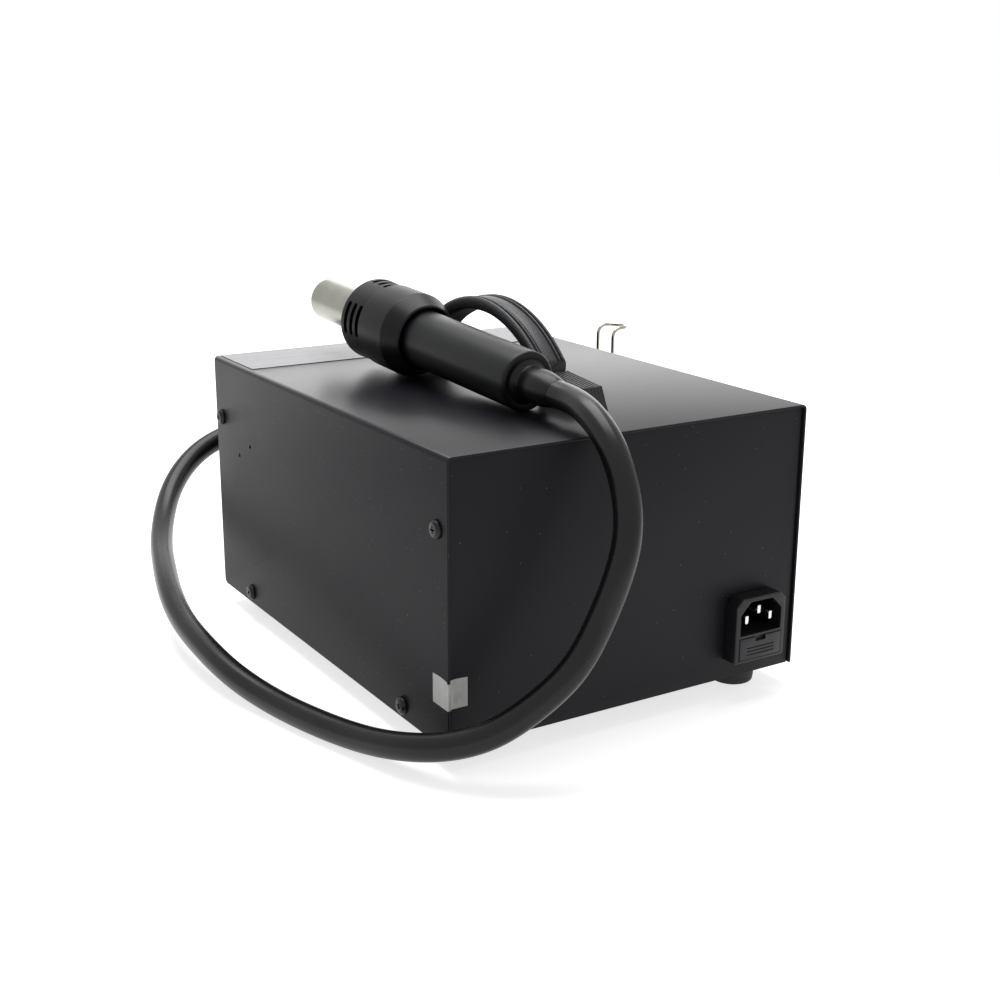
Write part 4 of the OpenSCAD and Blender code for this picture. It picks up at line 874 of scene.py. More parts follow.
class STATION_OT_fasteners(StationOperator, bpy.types.Operator):
    """Screw the case together and set it on its feet"""

    bl_idname = "station.fasteners"
    bl_label = "Screws and Feet"

    def screws(self, case):
        """Pan head screws with a cross recess, each at its own turn."""
        places = [(s, e * y, z) for s in (-1, 1) for e in (-1, 1)
                  for y, z in ((0.1145, 0.104), (0.0835, 0.0162))]
        spots = [along_x(side * case.half_width, y, z, side) @ turned(turn, "Z")
                 for (side, y, z), turn in zip(places, (25, 62, 10, 48, 80, 33, 5, 70))]
        r, length, head, rise = 2 * MM, 8 * MM, case.screw_head, 2.4 * MM
        profile = rounded(
            [(0, -length), (r - 0.3 * MM, -length), (r, -length + 0.4 * MM), (r, 0), (head, 0),
             (head, rise * 0.45), (head * 0.78, rise * 0.92), (0, rise)],
            [0, 0, 0, 0, 0.15 * MM, head * 0.35, head * 0.5, 0])
        arm, half = head * 0.52, head * 0.12
        cross = [(arm, -half), (arm, half), (half, half)]
        for _ in range(3):
            cross += [(-y, x) for x, y in cross[-3:]]
        bm, recess = bmesh.new(), bmesh.new()
        for matrix in spots:
            lathe(bm, profile, matrix, 40)
            verts = prism(recess, cross, rise * 0.3, rise + 1 * MM)
            # the recess gets narrower towards its bottom
            for v in verts:
                if v.co.z < rise * 0.4:
                    v.co.x *= 0.55
                    v.co.y *= 0.55
            bmesh.ops.transform(recess, matrix=matrix, verts=verts)
        piece(bm, "cover_screw_set", "black_steel", "station", ["cover_screws"],
              "black_steel", 40, [cutter(recess)])

    def feet(self, case):
        r, h = case.foot_radius, case.bottom
        profile = rounded(
            [(2.2 * MM, h), (r, h), (r - 1 * MM, 0), (5.4 * MM, 0), (5.2 * MM, 5.4 * MM),
             (2.2 * MM, 5.4 * MM)],
            mm(0, 0.5, 1.6, 0.6, 0.3, 0), 5)
        bm = bmesh.new()
        for x, y in ((-0.073, -0.104), (-0.073, 0.104), (0.073, -0.104), (0.073, 0.104)):
            lathe(bm, profile, Matrix.Translation((x, y, 0)), 72)
        piece(bm, "foot_set", "foot", "station", ["rubber_feet"], "foot_rubber", 45)

    def execute(self, context):
        case = settings(context, "case")
        self.screws(case)
        self.feet(case)
        return self.finished("cover_screw_set", "foot_set")


# height of the strap's upper side over its width: bead, groove, bead, flat band
STRAP_UPPER = (
    (-7.8, -2.4), (-7.7, -1.2), (-7.35, -0.45), (-6.9, -0.12), (-6.45, 0.0), (-6.1, -0.12),
    (-5.9, -0.4), (-5.8, -1.2), (-5.35, -1.4), (-4.95, -1.2), (-4.85, -0.4), (-4.65, -0.12),
    (-4.35, 0.0), (-4.05, -0.12), (-3.85, -0.4), (-3.75, -1.2), (-3.4, -1.4), (-3.1, -1.2),
    (-3.0, -0.7), (-2.7, -0.55), (0, -0.5),
)
STRAP_LOWER = ((7.6, 1.4), (7.1, 0.6), (6.2, 0.1), (5.2, 0), (0, 0))
STRAP_HALF = 7.8  # the strap's half width in these two
# the caps' upper side: its rim from the edge inwards, one rib over the ribs' spacing
CAP_RIM = ((0, -0.9), (0.2, -0.25), (0.7, 0.0), (1.2, -0.1))
CAP_RIB = ((-0.5, -0.55), (-0.32, -0.5), (-0.18, -0.12), (0.18, -0.12), (0.32, -0.5))
CAP_RIBS = 7


class STATION_OT_handle(StationOperator, bpy.types.Operator):
    """Mould the strap handle and its two ribbed end caps"""

    bl_idname = "station.handle"
    bl_label = "Strap Handle"

    def strap(self, case, handle):
        """Sweeps the strap's beaded section along its arch."""
        thick = handle.thickness / MM
        scale = handle.width / 2 / (STRAP_HALF * MM)
        section = [(x * scale * MM, z * MM) for x, z in mirrored(list(STRAP_UPPER))
                   + mirrored([(x, z - thick) for x, z in STRAP_LOWER])]
        centre = case.top + handle.rise - handle.radius
        end = math.asin(handle.reach / (handle.radius - 1 * MM))
        rings = []
        steps = 72
        for k in range(steps + 1):
            angle = -end + 2 * end * k / steps
            ring = []
            for x, z in section:
                r = handle.radius + z
                y, up = r * math.sin(angle), r * math.cos(angle)
                if k in (0, steps):
                    # the ends are cut upright
                    y = math.copysign(handle.reach, angle)
                    up = math.sqrt(r * r - y * y)
                ring.append((handle.place + x, y, centre + up))
            if k in (0, steps) or max(abs(p[1]) for p in ring) < handle.reach:
                rings.append(ring)
        bm = bmesh.new()
        loft(bm, rings)
        piece(bm, "handle_strap_cover", "strap", "station", ["handle_strap"],
              "handle_plastic", 50)

    def caps(self, case, handle):
        """Two hollow caps: ribbed tops between raised rims, and sloped ends."""
        half, wall, near, height = handle.width / 2, 2 * MM, handle.cap_near, handle.cap_height
        far_top, far_height = handle.cap_far - 5 * MM, height - 2.4 * MM
        # how high the cap is along its length
        stations = [(near, height), (near + 0.5 * MM, height)]
        stations += [(near + (far_top - near) * t, height + (far_height - height) * t)
                     for t in (k / 8 for k in range(1, 9))]
        stations += [(far_top + (handle.cap_far - far_top) * t * 0.98,
                      far_height * (1 - t) + 0.25 * MM * t)
                     for t in (k / 4 for k in range(1, 5))]
        # its upper side over its width
        span = half - 1.6 * MM
        step = 2 * span / CAP_RIBS
        rim = [(-half + x * MM, z) for x, z in CAP_RIM]
        ribs = [(-span + 2 * span * (k + 0.5) / CAP_RIBS + x * step, z)
                for k in range(CAP_RIBS) for x, z in CAP_RIB]
        top = rim + ribs + [(span, -0.55)] + [(-x, z) for x, z in reversed(rim)]
        bm = bmesh.new()
        for side in (1, -1):
            rings = []
            for i, (y, height) in enumerate(stations):
                inset = 0.35 * MM if i == 0 else 0.0
                fade = 1.0 if height > 2 * MM else 0.2
                hollow = i < len(stations) - 2 and height > wall + 1 * MM
                inner = height - wall if hollow else 0.02 * MM
                ring = [(x, max(height + z * fade * MM - inset, 0.1 * MM)) for x, z in top]
                ring += [(half, 0), (half - wall, 0), (half - wall, inner),
                         (-half + wall, inner), (-half + wall, 0), (-half, 0)]
                rings.append([(handle.place + x, side * y, case.top + z) for x, z in ring])
            loft(bm, rings)
        piece(bm, "handle_cap_set", "cap", "station", ["handle_end_caps"], "handle_plastic")

    def execute(self, context):
        case, handle = settings(context, "case"), settings(context, "handle")
        self.strap(case, handle)
        self.caps(case, handle)
        return self.finished("handle_strap_cover", "handle_cap_set")


class STATION_OT_stickers(StationOperator, bpy.types.Operator):
    """Stick the bare label on the top and the seal round the rear corner"""

    bl_idname = "station.stickers"
    bl_label = "Stickers"

    def label(self, case, handle):
        """A band across the top with a notch for the handle's front cap."""
        x, front, rear = 0.0905, -0.121, -0.078
        left = handle.place - handle.width / 2 - 1 * MM
        right = handle.place + handle.width / 2 + 1 * MM
        notch = -handle.cap_far - 1 * MM
        outline = rounded(
            [(-x, front), (x, front), (x, rear), (right, rear), (right, notch),
             (left, notch), (left, rear), (-x, rear)],
            mm(1, 1, 1, 0, 0.6, 0.6, 0, 1))
        bm = bmesh.new()
        prism(bm, outline, case.top, case.top + 0.25 * MM)
        soften(bm, 0.08 * MM, 1, 60)
        piece(bm, "top_label_film", "label", "station", ["top_label"], "label_film", 40)

    def seal(self, case):
        """A torn-topped sticker that bends round the cover's edge onto the rear wall."""
        w, d, t, thin, low = case.half_width, case.half_depth, case.sheet, 0.2 * MM, 0.0285
        face = d - case.inset
        line = [(w, 0.1103), (w, 0.114), (w, 0.118), (w, 0.1215), (w, d - 0.05 * MM),
                (w - 0.05 * MM, d), (w - t, d), (w - t - 0.1 * MM, face + 0.3 * MM),
                (w - t - 0.5 * MM, face), (0.0895, face), (0.0865, face), (0.0837, face)]
        tops = (0.0412, 0.0415, 0.0414, 0.0411, 0.0402, 0.0401, 0.0404, 0.0407, 0.0412,
                0.0415, 0.0414, 0.0413)
        rings = []
        for i, ((x, y), top) in enumerate(zip(line, tops)):
            ahead = Vector(line[min(i + 1, len(line) - 1)]) - Vector(line[max(i - 1, 0)])
            ahead.normalize()
            ox, oy = x + ahead.y * thin, y - ahead.x * thin
            rings.append([(x, y, low), (ox, oy, low), (ox, oy, top), (x, y, top)])
        bm = bmesh.new()
        loft(bm, rings)
        piece(bm, "corner_seal_paper", "seal", "station", ["corner_seal"], "seal_paper", 50)

    def execute(self, context):
        case, handle = settings(context, "case"), settings(context, "handle")
        self.label(case, handle)
        self.seal(case)
        return self.finished("top_label_film", "corner_seal_paper")


class STATION_OT_hook(StationOperator, bpy.types.Operator):
    """Bend the wire hook for the handpiece"""

    bl_idname = "station.hook"
    bl_label = "Handpiece Hook"

    def execute(self, context):
        (front_y, front_z), (rear_y, rear_z) = HOOK_HOLES
        upright, foot, top, bend = -0.1312, 0.012, 0.1365, 0.005

        def leg(y, z):
            """From inside the case, through its hole, up and over into the loop."""
            bends = (arc(upright + foot, z + foot, foot, 270, 180, 8)
                     + arc(upright - bend, top - bend, bend, 0, 90, 8))
            return [Vector((x, y, up)) for x, up in [(-0.0873, z), (-0.1, z)] + bends]

        middle, half = (front_y + rear_y) / 2, (rear_y - front_y) / 2
        loop = [Vector((x, y, top))
                for x, y in arc(upright - bend, middle, half, -90, -270, 16)[1:-1]]
        path = leg(front_y, front_z) + loop + leg(rear_y, rear_z)[::-1]
        bm = bmesh.new()
        loft(bm, tube_rings(path, 1 * MM, 20, (0, 1, 0)))
        piece(bm, "hook_wire", "wire", "station", ["handpiece_hook"], "wire_steel", 60)
        return self.finished("hook_wire")


# half width and height of the drawer, and the rim between it, the socket and the edge
DRAWER_HALF, DRAWER_HEIGHT, INLET_RIM = mm(12, 10.4, 1.4)


def clipped(half_width, low, height, corner):
    """A rectangle whose two upper corners are cut off."""
    w, high = half_width, low + height
    return [(-w, low), (w, low), (w, high - corner), (w - corner, high), (-w + corner, high),
            (-w, high - corner)]


class STATION_OT_inlet(StationOperator, bpy.types.Operator):
    """Build the mains inlet with its pins and its fuse drawer"""

    bl_idname = "station.inlet"
    bl_label = "Mains Inlet"

    def housing(self, inlet, wall, facing):
        """A frame on the wall, its body behind, the socket's and the drawer's pocket."""
        half, low, high, face = inlet.width / 2, inlet.bottom, inlet.height, inlet.face
        drawer_z = low + INLET_RIM
        drawer_top = drawer_z + DRAWER_HEIGHT
        bm, socket, pocket = bmesh.new(), bmesh.new(), bmesh.new()
        frame_line = rounded(clipped(half, low, high, 3.5 * MM), mm(0.8, 0.8, *[1.2] * 4))
        prism(bm, frame_line, wall, face, facing)
        soften(bm, 0.5 * MM, 3, 60)
        prism(bm, rect(-half, low, half, low + high, -1 * MM), wall - 30 * MM,
              wall + 0.5 * MM, facing)
        socket_line = clipped(DRAWER_HALF, drawer_top + INLET_RIM, 15.8 * MM, 5.6 * MM)
        prism(socket, rounded(socket_line, mm(*[0.7] * 6)), face - 16 * MM, face + 1 * MM,
              facing)
        prism(pocket, rect(-DRAWER_HALF, drawer_z, DRAWER_HALF, drawer_top, 0.3 * MM),
              face - 24.3 * MM, face + 1 * MM, facing)
        piece(bm, "inlet_body", "inlet", "station", ["inlet_housing"], "inlet_plastic",
              cuts=[cutter(socket), cutter(pocket)])

    def pins(self, inlet, wall, facing):
        """Three flat pins with rounded edges."""
        socket_z = inlet.bottom + INLET_RIM + DRAWER_HEIGHT + INLET_RIM
        bm = bmesh.new()
        for px, pz in ((-7, 6.8), (7, 6.8), (0, 10.8)):
            prism(bm, scaled(rect(px - 1, pz - 2, px + 1, pz + 2), socket_z), wall - 36 * MM,
                  inlet.face - 1.6 * MM, facing)
        soften(bm, 0.45 * MM, 2, 60)
        piece(bm, "inlet_pin_set", "pins", "station", ["inlet_pins"], "pin_metal")

    def drawer(self, inlet, facing):
        """The drawer, open at its top for one fuse behind the other, and the fuses."""
        x, face, half, low = inlet.place, inlet.face, DRAWER_HALF, inlet.bottom + INLET_RIM
        top, fuse_z = low + DRAWER_HEIGHT, low + 4.1 * MM
        bm, bores, slots, grooves, glasses, ends = (bmesh.new() for _ in range(6))
        prism(bm, rect(-half, low, half, top), face - 24 * MM, face + 0.4 * MM, facing)
        soften(bm, 0.4 * MM, 2, 60)
        end_profile = rounded(rect(0, 4 * MM, 2.5 * MM, 10 * MM), mm(0, 0.2, 0.6, 0))
        for y in (face - 7 * MM, face - 17 * MM):
            axis = along_x(x, y, fuse_z)
            rod(bores, 2.55 * MM, -10.2 * MM, 10.2 * MM, axis, 32)
            block(slots, (x - 10.2 * MM, y - 2.55 * MM, fuse_z),
                  (x + 10.2 * MM, y + 2.55 * MM, top + 1 * MM))
            rod(glasses, 2.2 * MM, -4.2 * MM, 4.2 * MM, axis, 32)
            for side in (-1, 1):
                lathe(ends, end_profile, along_x(x, y, fuse_z, side), 32)
        # a notch for the fingertip and three fine grooves under it
        block(grooves, (x - 3 * MM, face - 1.4 * MM, top - 2.2 * MM),
              (x + 3 * MM, face + 1 * MM, top + 1 * MM))
        for z in (2.0, 3.6, 5.2):
            block(grooves, (x - 8 * MM, face - 0.1 * MM, low + z * MM),
                  (x + 8 * MM, face + 1 * MM, low + (z + 0.6) * MM))
        piece(bm, "fuse_drawer_body", "drawer", "drawer", ["fuse_drawer"], "inlet_plastic",
              cuts=[cutter(bores), cutter(slots), cutter(grooves)])
        piece(glasses, "fuse_glasses", "glass", "drawer", ["fuses"], "fuse_glass", 40)
        piece(ends, "fuse_end_caps", "pins", "drawer", [], "pin_metal", 40)

    def execute(self, context):
        inlet, case = settings(context, "inlet"), settings(context, "case")
        wall = case.half_depth - case.inset
        # from an outline seen from behind the station to its place in the rear wall
        facing = (Matrix.Translation((inlet.place, 0, 0))
                  @ Matrix(((-1, 0, 0, 0), (0, 0, 1, 0), (0, 1, 0, 0), (0, 0, 0, 1))))
        self.housing(inlet, wall, facing)
        self.pins(inlet, wall, facing)
        self.drawer(inlet, facing)
        return self.finished("inlet_body", "inlet_pin_set", "fuse_drawer_body",
                             "fuse_glasses", "fuse_end_caps")


SWITCH_KEY = (5.4, 8.9)  # half width and radius of the key in millimetres


class STATION_OT_front(StationOperator, bpy.types.Operator):
    """Fit the knobs, the power switch, the lamp and the hose outlet"""

    bl_idname = "station.front"
    bl_label = "Front Controls"

    def knob(self, front, wall, z, name, node, body):
        """A fluted knob with a skirt and a raised pointer, at its lowest setting."""
        base = wall + 0.8 * MM
        matrix = along_y(front.knob_x, z) @ turned(135, "Z")
        r, skirt, flutes = front.knob_radius / MM, front.skirt_radius / MM, 24
        # the bore for the shaft is blind
        profile = rounded(
            [(3.0, 13), (3.0, 4.6), (7.1, 4.6), (7.1, 0), (skirt, 0), (skirt, 2.6),
             (r + 0.6, 3.2), (r, 15.2), (r - 0.8, 16), (0, 16), (0, 13)],
            [0, 0, 0, 0.3, 0.4, 0.8, 1.2, 0.8, 0.8, 0, 0])
        bm, cuts = bmesh.new(), bmesh.new()
        lathe(bm, scaled(profile, base), matrix, 96)
        away = front.knob_radius + 0.7 * MM
        for a in (FULL_TURN * (k + 0.5) / flutes for k in range(flutes)):
            flute = Matrix.Translation((away * math.cos(a), away * math.sin(a), 0))
            rod(cuts, 1.3 * MM, 4.2 * MM + base, 17 * MM + base, matrix @ flute, 12)
        piece(bm, name, "key", body, [node], "key_plastic", cuts=[cutter(cuts)])
        bm = bmesh.new()
        prism(bm, rect(-0.7 * MM, 3 * MM, 0.7 * MM, front.knob_radius - 1.4 * MM),
              15.9 * MM + base, 16.6 * MM + base, matrix)
        soften(bm, 0.2 * MM, 2, 50)
        piece(bm, name + "_pointer", "mark", body, [], "label_film")

    def dial(self, front, wall, z, name):
        """Scale ticks round a knob on the front wall."""
        bm = bmesh.new()
        near = front.skirt_radius + 1.6 * MM
        for k in range(11):
            length = 2.4 * MM if k % 5 == 0 else 1.5 * MM
            block(bm, (-0.25 * MM, -wall - 0.12 * MM, near),
                  (0.25 * MM, -wall + 0.02 * MM, near + length),
                  Matrix.Translation((front.knob_x, 0, z)) @ turned(-135 + 27 * k, "Y"))
        piece(bm, name, "mark", "station", [], "label_film")

    def switch_frame(self, front, wall, pivot):
        """The switch's frame with its terminals and the bearing of its key."""
        x, z = front.switch_x, front.switch_z
        w, h, key_w, key_r = mm(7.5, 10.8, *SWITCH_KEY)
        bm = bmesh.new()
        plate(bm, x, z, w, h, -wall - 2 * MM, -wall)
        soften(bm, 0.7 * MM, 3, 60)
        plate(bm, x, z, w - 1 * MM, h - 1 * MM, -wall - 0.1 * MM, -wall + 20 * MM)
        for dz in mm(-6, 0, 6):
            plate(bm, x, z + dz, 2.4 * MM, 0.4 * MM, -wall + 19.9 * MM, -wall + 26 * MM)
        opening, bearing, gap = bmesh.new(), bmesh.new(), 0.3 * MM
        plate(opening, x, z, key_w + gap, key_r + gap, -wall - 3 * MM, pivot + key_r)
        rod(bearing, 1.25 * MM, -key_w - 1.6 * MM, key_w + 1.6 * MM, along_x(x, pivot, z), 32)
        piece(bm, "switch_frame", "inlet", "station", ["switch_body"], "inlet_plastic",
              cuts=[cutter(opening), cutter(bearing)])

    def switch_key(self, front, pivot):
        """Two faces that meet in a shallow valley, with plain on and off marks."""
        key_w = SWITCH_KEY[0] * MM
        tilt = (Matrix.Translation((front.switch_x, pivot, front.switch_z))
                @ turned(10, "X") @ STANDING)
        line = scaled([(-6.2, -6.2), (-5.55, -3.1), (-5.2, 0), (-5.55, 3.1), (-6.2, 6.2),
                       (-1, 7.6), (3, 3), (3, -3), (-1, -7.6)])
        bm = bmesh.new()
        prism(bm, rounded(line, mm(0.9, 0, 2, 0, 0.9, 0, 0, 0, 0), 5), -key_w, key_w, tilt)
        soften(bm, 0.35 * MM, 2, 50)
        rod(bm, 1.2 * MM, -key_w - 1.3 * MM, key_w + 1.3 * MM, tilt, 32)
        piece(bm, "switch_key", "key", "rocker", ["rocker_key"], "key_plastic")
        bm = bmesh.new()
        block(bm, mm(-6.0, 3.2, -0.3), mm(-5.6, 5.8, 0.3), tilt)
        lathe(bm, scaled(rect(1.0, -0.2, 1.5, 0.2)),
              tilt @ along_x(-5.85 * MM, -4.5 * MM, 0), 32)
        piece(bm, "switch_key_marks", "mark", "rocker", [], "label_film")

    def lamp(self, front, wall):
        """A low lens with its body behind the wall."""
        profile = rounded([(0, 0), (4.4, 0), (4.4, 1.2), (3.2, 1.3), (2.9, 2.4), (0, 3.0)],
                          [0, 0, 0.5, 0.2, 0.9, 0])
        matrix = along_y(front.switch_x, front.lamp_z)
        bm = bmesh.new()
        lathe(bm, scaled([(r, 0.8 * z) for r, z in profile], wall), matrix, 48)
        rod(bm, 3 * MM, wall - 9 * MM, wall + 0.3 * MM, matrix, 48)
        piece(bm, "lamp_lens", "lamp", "station", ["pilot_lamp"], "lamp_plastic")

    def outlet(self, hose, wall):
        """A flanged sleeve that narrows to the hose."""
        out = (-hose.outlet_y - wall) / MM
        profile = rounded(
            [(2.2, -17), (3.4, -17), (3.4, -11), (9.5, -11), (9.5, 0), (13, 0), (13, 4),
             (9.5, 4.6), (7.6, out), (4.5, out), (4.5, 8.7), (2.2, 8.7)],
            [0.2, 0.4, 0, 0.3, 0, 0.4, 0.9, 1.6, 0.7, 0.3, 0, 0], 5)
        bm = bmesh.new()
        lathe(bm, scaled(profile, wall), along_y(hose.outlet_x, hose.outlet_z), 72)
        piece(bm, "hose_outlet_sleeve", "bush", "station", ["hose_outlet"], "inlet_plastic",
              40)

    def execute(self, context):
        front, case = settings(context, "front"), settings(context, "case")
        wall = case.half_depth - case.inset
        self.knob(front, wall, front.heat_z, "heat_knob_cap", "heat_knob", "heat_knob_set")
        self.knob(front, wall, front.air_z, "air_knob_cap", "air_knob", "air_knob_set")
        self.dial(front, wall, front.heat_z, "heat_dial_ticks")
        self.dial(front, wall, front.air_z, "air_dial_ticks")
        pivot = -wall + 3.4 * MM
        self.switch_frame(front, wall, pivot)
        self.switch_key(front, pivot)
        self.lamp(front, wall)
        self.outlet(settings(context, "hose"), wall)
        return self.finished("heat_knob_cap", "air_knob_cap", "switch_frame", "lamp_lens",
                             "hose_outlet_sleeve")


# the swollen sleeve from its tip to the grip: share of its length, rise above the hose
BUSH_SWELL = ((1.0, 0.05), (0.97, 0.3), (0.9, 0.8), (0.75, 1.4), (0.6, 1.85), (0.45, 2.0),
              (0.3, 1.85), (0.18, 1.5), (0.1, 1.45), (0.06, 1.9))


class STATION_OT_handpiece(StationOperator, bpy.types.Operator):
    """Turn the handpiece: barrel, slotted vent cap, shroud, grip and hose bush"""

    bl_idname = "station.handpiece"
    bl_label = "Handpiece"

    def barrel(self, hand, matrix):
        """An open steel tube on its flange, with a low collar at its foot."""
        r, out = hand.barrel_radius, hand.barrel_length
        bore, collar, flange = r - 0.7 * MM, r + 0.3 * MM, 18 * MM
        bm = bmesh.new()
        profile = rounded(
            [(bore, -12 * MM), (bore, out - 0.4 * MM), (r - 0.2 * MM, out), (r, out),
             (r, out - 1.5 * MM), (r, 0.6 * MM), (collar, 0.6 * MM), (collar, -10.8 * MM),
             (flange, -10.8 * MM), (flange, -12 * MM)],
            mm(0, 0.2, 0.1, 0.25, 0, 0, 0.1, 0, 0.1, 0.1))
        lathe(bm, profile, matrix, 128)
        piece(bm, "barrel_tube", "barrel", "handpiece", ["barrel"], "barrel_steel")

    def vent_cap(self, hand, matrix):
        """A cap with three rows of slots, four to a row."""
        v, l = hand.vent_radius, hand.vent_length
        hole = hand.barrel_radius + 0.6 * MM
        inner = hand.shoulder_radius - 2.2 * MM
        rear = hand.shoulder_radius - 0.9 * MM
        bm, cuts = bmesh.new(), bmesh.new()
        profile = rounded(
            [(hole, 0), (v, 0), (rear, -l + 0.4 * MM), (rear - 0.4 * MM, -l), (inner, -l),
             (inner, -2 * MM), (hole, -2 * MM)],
            mm(0.4, 1.8, 0, 0, 0, 0.8, 0), 7)
        lathe(bm, profile, matrix, 160)
        near, far, width, steps = inner - 1 * MM, v + 1 * MM, 2.8 * MM, 14
        wide = math.radians(47)
        for quarter in range(4):
            for row in range(3):
                s = -5.4 * MM - row * 5.1 * MM
                rings = []
                for j in range(steps + 1):
                    a = math.radians(90 * quarter + 10) - wide / 2 + wide * j / steps
                    # the slots' ends are narrower
                    half = width / 2 * (0.55 if j in (0, steps) else 1.0)
                    rings.append([(r * math.cos(a), r * math.sin(a), z) for r, z in
                                  rect(near, s - half, far, s + half)])
                bmesh.ops.transform(cuts, matrix=matrix, verts=loft(cuts, rings))
        piece(bm, "vent_cap_body", "housing", "handpiece", ["vent_cap"], "grip_plastic",
              cuts=[cutter(cuts)])

    def shroud(self, hand, matrix):
        """A drum with a cone at its rear that closes on the grip."""
        l, r, start = hand.shroud_length, hand.shoulder_radius, -hand.vent_length
        shoulder, inner = -l + hand.cone_length, r - 2.2 * MM
        neck, rim = hand.grip_radius + 0.05 * MM, hand.grip_radius + 2.2 * MM
        lip, fit = inner - 1.4 * MM, inner - 0.05 * MM
        bm = bmesh.new()
        profile = rounded(
            [(lip, start + 1.2 * MM), (fit, start + 1.2 * MM), (fit, start),
             (r - 0.4 * MM, start), (r, start - 0.5 * MM), (r, shoulder - 1.4 * MM),
             (rim + 0.4 * MM, -l + 0.8 * MM), (rim - 0.6 * MM, -l),
             (neck + 0.2 * MM, -l + 2.4 * MM), (neck, -l + 2.4 * MM), (neck, -l + 4.4 * MM),
             (inner - 1.2 * MM, shoulder), (inner, shoulder), (inner, start - 2 * MM),
             (lip, start - 2 * MM)],
            mm(0, 0, 0, 0.1, 0.4, 3.2, 1.0, 0.5, 0.3, 0, 0, 0, 0, 0, 0), 8)
        lathe(bm, profile, matrix, 160)
        piece(bm, "shroud_body", "housing", "handpiece", ["shroud"], "grip_plastic")

    def grip(self, hand, matrix, hose_radius):
        """The grip with its three screw posts, and the hose's rubber bush in its end."""
        reach, r, end, flange = hand.reach, hand.grip_radius, hand.grip_end, 18 * MM
        front, bore = -hand.shroud_length + hand.cone_length, end - 3.4 * MM
        bm = bmesh.new()
        profile = rounded(
            [(bore, front + 3 * MM), (flange, front + 3 * MM), (flange, front), (r, front),
             (r - 0.05 * MM, front - 7.2 * MM), (r - 1.2 * MM, front - 7.4 * MM),
             (r - 1.2 * MM, front - 8.9 * MM), (r - 0.1 * MM, front - 9.1 * MM),
             (end, -reach + 3 * MM), (end, -reach), (bore, -reach), (bore, -reach + 7 * MM)],
            mm(0, 0, 0, 0, 0, 0.2, 0.2, 0.5, 0, 2.9, 0.15, 0), 6)
        lathe(bm, profile, matrix, 128)
        for a in (30, 150, 270):
            post = matrix @ turned(a, "Z") @ Matrix.Translation((13.9 * MM, 0, 0))
            lathe(bm, rect(1.3 * MM, front + 2.9 * MM, 2.7 * MM, -12 * MM), post, 32)
        piece(bm, "grip_body", "grip", "handpiece", ["grip"], "grip_plastic")

        bore_of_bush, fit = hose_radius - 1.4 * MM, bore - 0.05 * MM
        tip, inside = -reach - hand.sleeve, -reach + 20 * MM
        profile = [(bore_of_bush, tip), (hose_radius - 0.05 * MM, tip)]
        profile += [(hose_radius + rise * MM, -reach - hand.sleeve * share)
                    for share, rise in BUSH_SWELL]
        profile += [(bore - 0.8 * MM, -reach - 0.35 * MM), (fit, -reach - 0.05 * MM),
                    (fit, inside), (bore_of_bush, inside)]
        bm = bmesh.new()
        lathe(bm, profile, matrix, 72)
        piece(bm, "hose_bush_ring", "bush", "handpiece", ["hose_bush"], "hose_rubber")

    def execute(self, context):
        hand = settings(context, "handpiece")
        matrix = handpiece_matrix(hand)
        self.barrel(hand, matrix)
        self.vent_cap(hand, matrix)
        self.shroud(hand, matrix)
        self.grip(hand, matrix, settings(context, "hose").radius)
        return self.finished("barrel_tube", "vent_cap_body", "shroud_body", "grip_body",
                             "hose_bush_ring")


INSIDE = {
    "base_tray": "inner_coat", "panel_screws": "zinc", "foot_screws": "zinc",
    "handle_strip": "steel", "handle_bolts": "zinc", "handle_nuts": "zinc",
    "air_control": "control", "heat_control": "control", "control_nuts": "zinc",
    "air_shaft": "turned", "heat_shaft": "turned", "outlet_nut": "zinc",
    "pump_base": "cast", "pump_mounts": "foot", "pump_core": "core", "pump_coil": "coil",
    "pump_pivots": "zinc", "left_pump_arm": "steel", "right_pump_arm": "steel",
    "left_diaphragm": "bush", "right_diaphragm": "bush", "valve_boxes": "box",
    "air_tubes": "tube", "circuit_board": "board", "board_standoffs": "brass",
    "board_screws": "zinc", "control_transformer": "tape", "heatsink": "cast",
    "board_parts": "sleeve", "wiring": "leads", "handpiece_screws": "zinc",
    "heater_core": "ceramic", "heater_coil": "steel", "mica_sleeve": "mica",
}


class STATION_OT_inside(StationOperator, bpy.types.Operator):
    """Give the carried-over inner pieces their materials"""

    bl_idname = "station.inside"
    bl_label = "Inner Pieces"

    def execute(self, context):
        for name, finish in INSIDE.items():
            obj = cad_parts[name]
            obj.data.materials.clear()
            obj.data.materials.append(finishes[finish])
        return self.finished(*INSIDE)


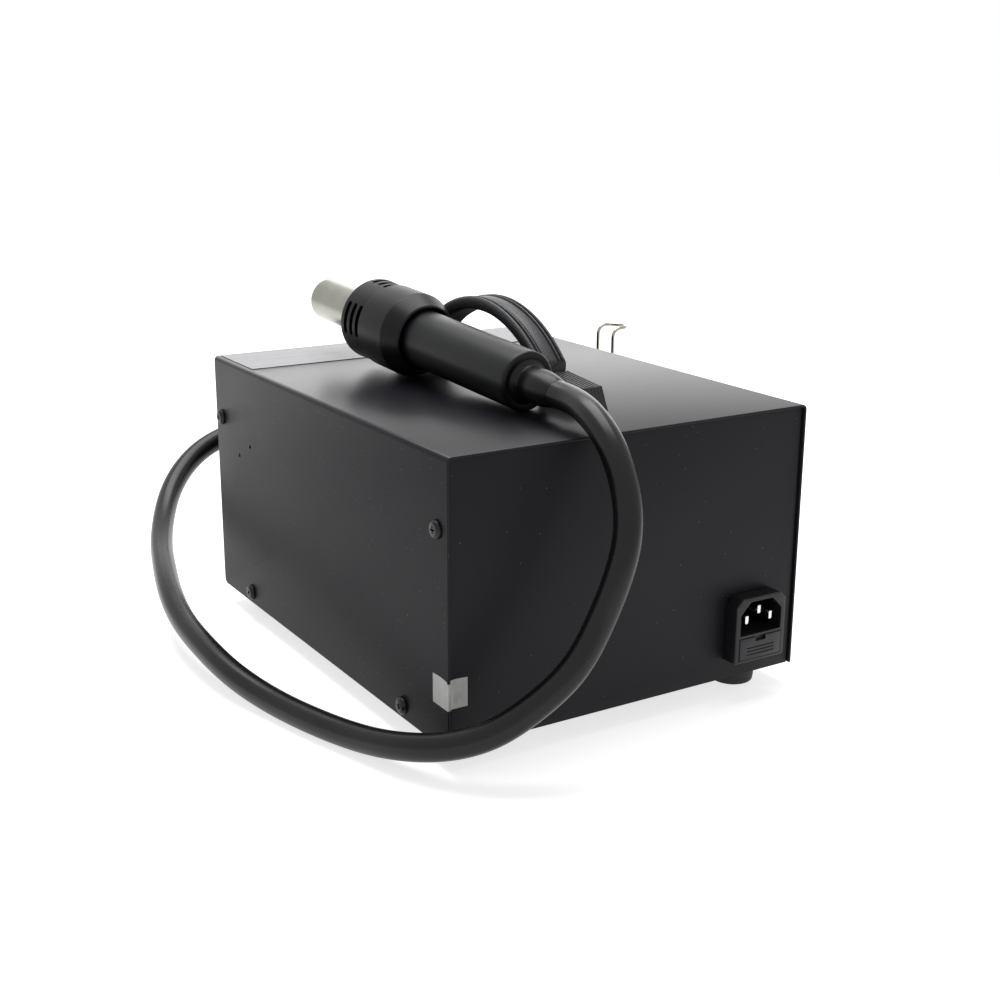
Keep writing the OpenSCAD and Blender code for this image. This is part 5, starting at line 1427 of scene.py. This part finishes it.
class STATION_OT_stage(StationOperator, bpy.types.Operator):
    """Set the pale floor, the soft lights and the white surroundings"""

    bl_idname = "station.stage"
    bl_label = "Stage"

    def seen(self, tree):
        """1 for rays from the camera, in reflections and through glass, else 0."""
        path = add(tree, "LightPath", {})
        seen = path["Is Camera Ray"]
        for other in ("Is Glossy Ray", "Is Transmission Ray"):
            seen = reckon(tree, "MAXIMUM", seen, path[other])
        return seen

    def floor(self):
        bm = bmesh.new()
        bm.faces.new([bm.verts.new((x, y, 0)) for x, y in rect(-3, -3, 3, 3)])
        material, tree, shader = new_material("Pale Floor")
        tint = noise(tree, 1.2, 2.0, 0.5, coordinates(tree))
        # seen by the camera, the lit floor is as white as the surroundings
        feed(tree, shader, {
            "Base Color": mix_colours(tree, tint, rgb("#e6e6e6"), rgb("#ececec")),
            "Roughness": 0.85, "Specular IOR Level": 0.2, "Emission Color": (1, 1, 1, 1),
            "Emission Strength": spread(tree, self.seen(tree), 0.0, 0.72)})
        make(bm, "floor", material)

    def lamp(self, name, spot, target, width, depth, power):
        data = bpy.data.lights.new(name, "AREA")
        data.shape = "RECTANGLE"
        data.size, data.size_y = width, depth
        data.energy = power
        obj = linked(name, data)
        obj.location = spot
        aim = Vector(target) - Vector(spot)
        obj.rotation_euler = aim.to_track_quat("-Z", "Y").to_euler()

    def world(self, context):
        world = bpy.data.worlds.new("White Surroundings")
        context.scene.world = world
        world.use_nodes = True
        tree = world.node_tree
        feed(tree, tree.nodes["Background"], {
            "Color": (1, 1, 1, 1), "Strength": spread(tree, self.seen(tree), 0.3, 1.0)})

    def execute(self, context):
        self.floor()
        self.lamp("Key", (-0.1, -0.35, 1.35), (0, 0, 0.08), 1.1, 1.1, 21.0)
        self.lamp("Fill", (-0.95, -1.5, 0.55), (0, 0, 0.1), 2.4, 1.0, 9.5)
        self.world(context)
        context.scene.view_settings.view_transform = "Standard"
        return self.finished("floor", "Key", "Fill")


class STATION_PT_panel(bpy.types.Panel):
    """The station's steps, in order"""

    bl_idname = "STATION_PT_panel"
    bl_label = "Hot Air Station"
    bl_space_type = "VIEW_3D"
    bl_region_type = "UI"
    bl_category = "Station"

    def draw(self, context):
        layout = self.layout
        for name, _ in SETTINGS:
            group = settings(context, name)
            column = layout.column(align=True)
            column.label(text=name.title())
            for key in group.__annotations__:
                column.prop(group, key)
        for operator in STEPS:
            layout.operator(operator.bl_idname)


STEPS = (
    STATION_OT_camera,
    STATION_OT_hose,
    STATION_OT_case,
    STATION_OT_fasteners,
    STATION_OT_handle,
    STATION_OT_stickers,
    STATION_OT_hook,
    STATION_OT_inlet,
    STATION_OT_front,
    STATION_OT_handpiece,
    STATION_OT_inside,
    STATION_OT_stage,
)


def register():
    for name, group in SETTINGS:
        bpy.utils.register_class(group)
        setattr(bpy.types.Scene, "station_" + name, bpy.props.PointerProperty(type=group))
    for operator in STEPS:
        bpy.utils.register_class(operator)
    bpy.utils.register_class(STATION_PT_panel)


def unregister():
    bpy.utils.unregister_class(STATION_PT_panel)
    for operator in reversed(STEPS):
        bpy.utils.unregister_class(operator)
    for name, group in reversed(SETTINGS):
        delattr(bpy.types.Scene, "station_" + name)
        bpy.utils.unregister_class(group)


def main():
    """Makes every piece in order."""
    register()
    make_finishes()
    for operator in STEPS:
        group, name = operator.bl_idname.split(".")
        getattr(getattr(bpy.ops, group), name)()


if __name__ == "__main__":
    main()
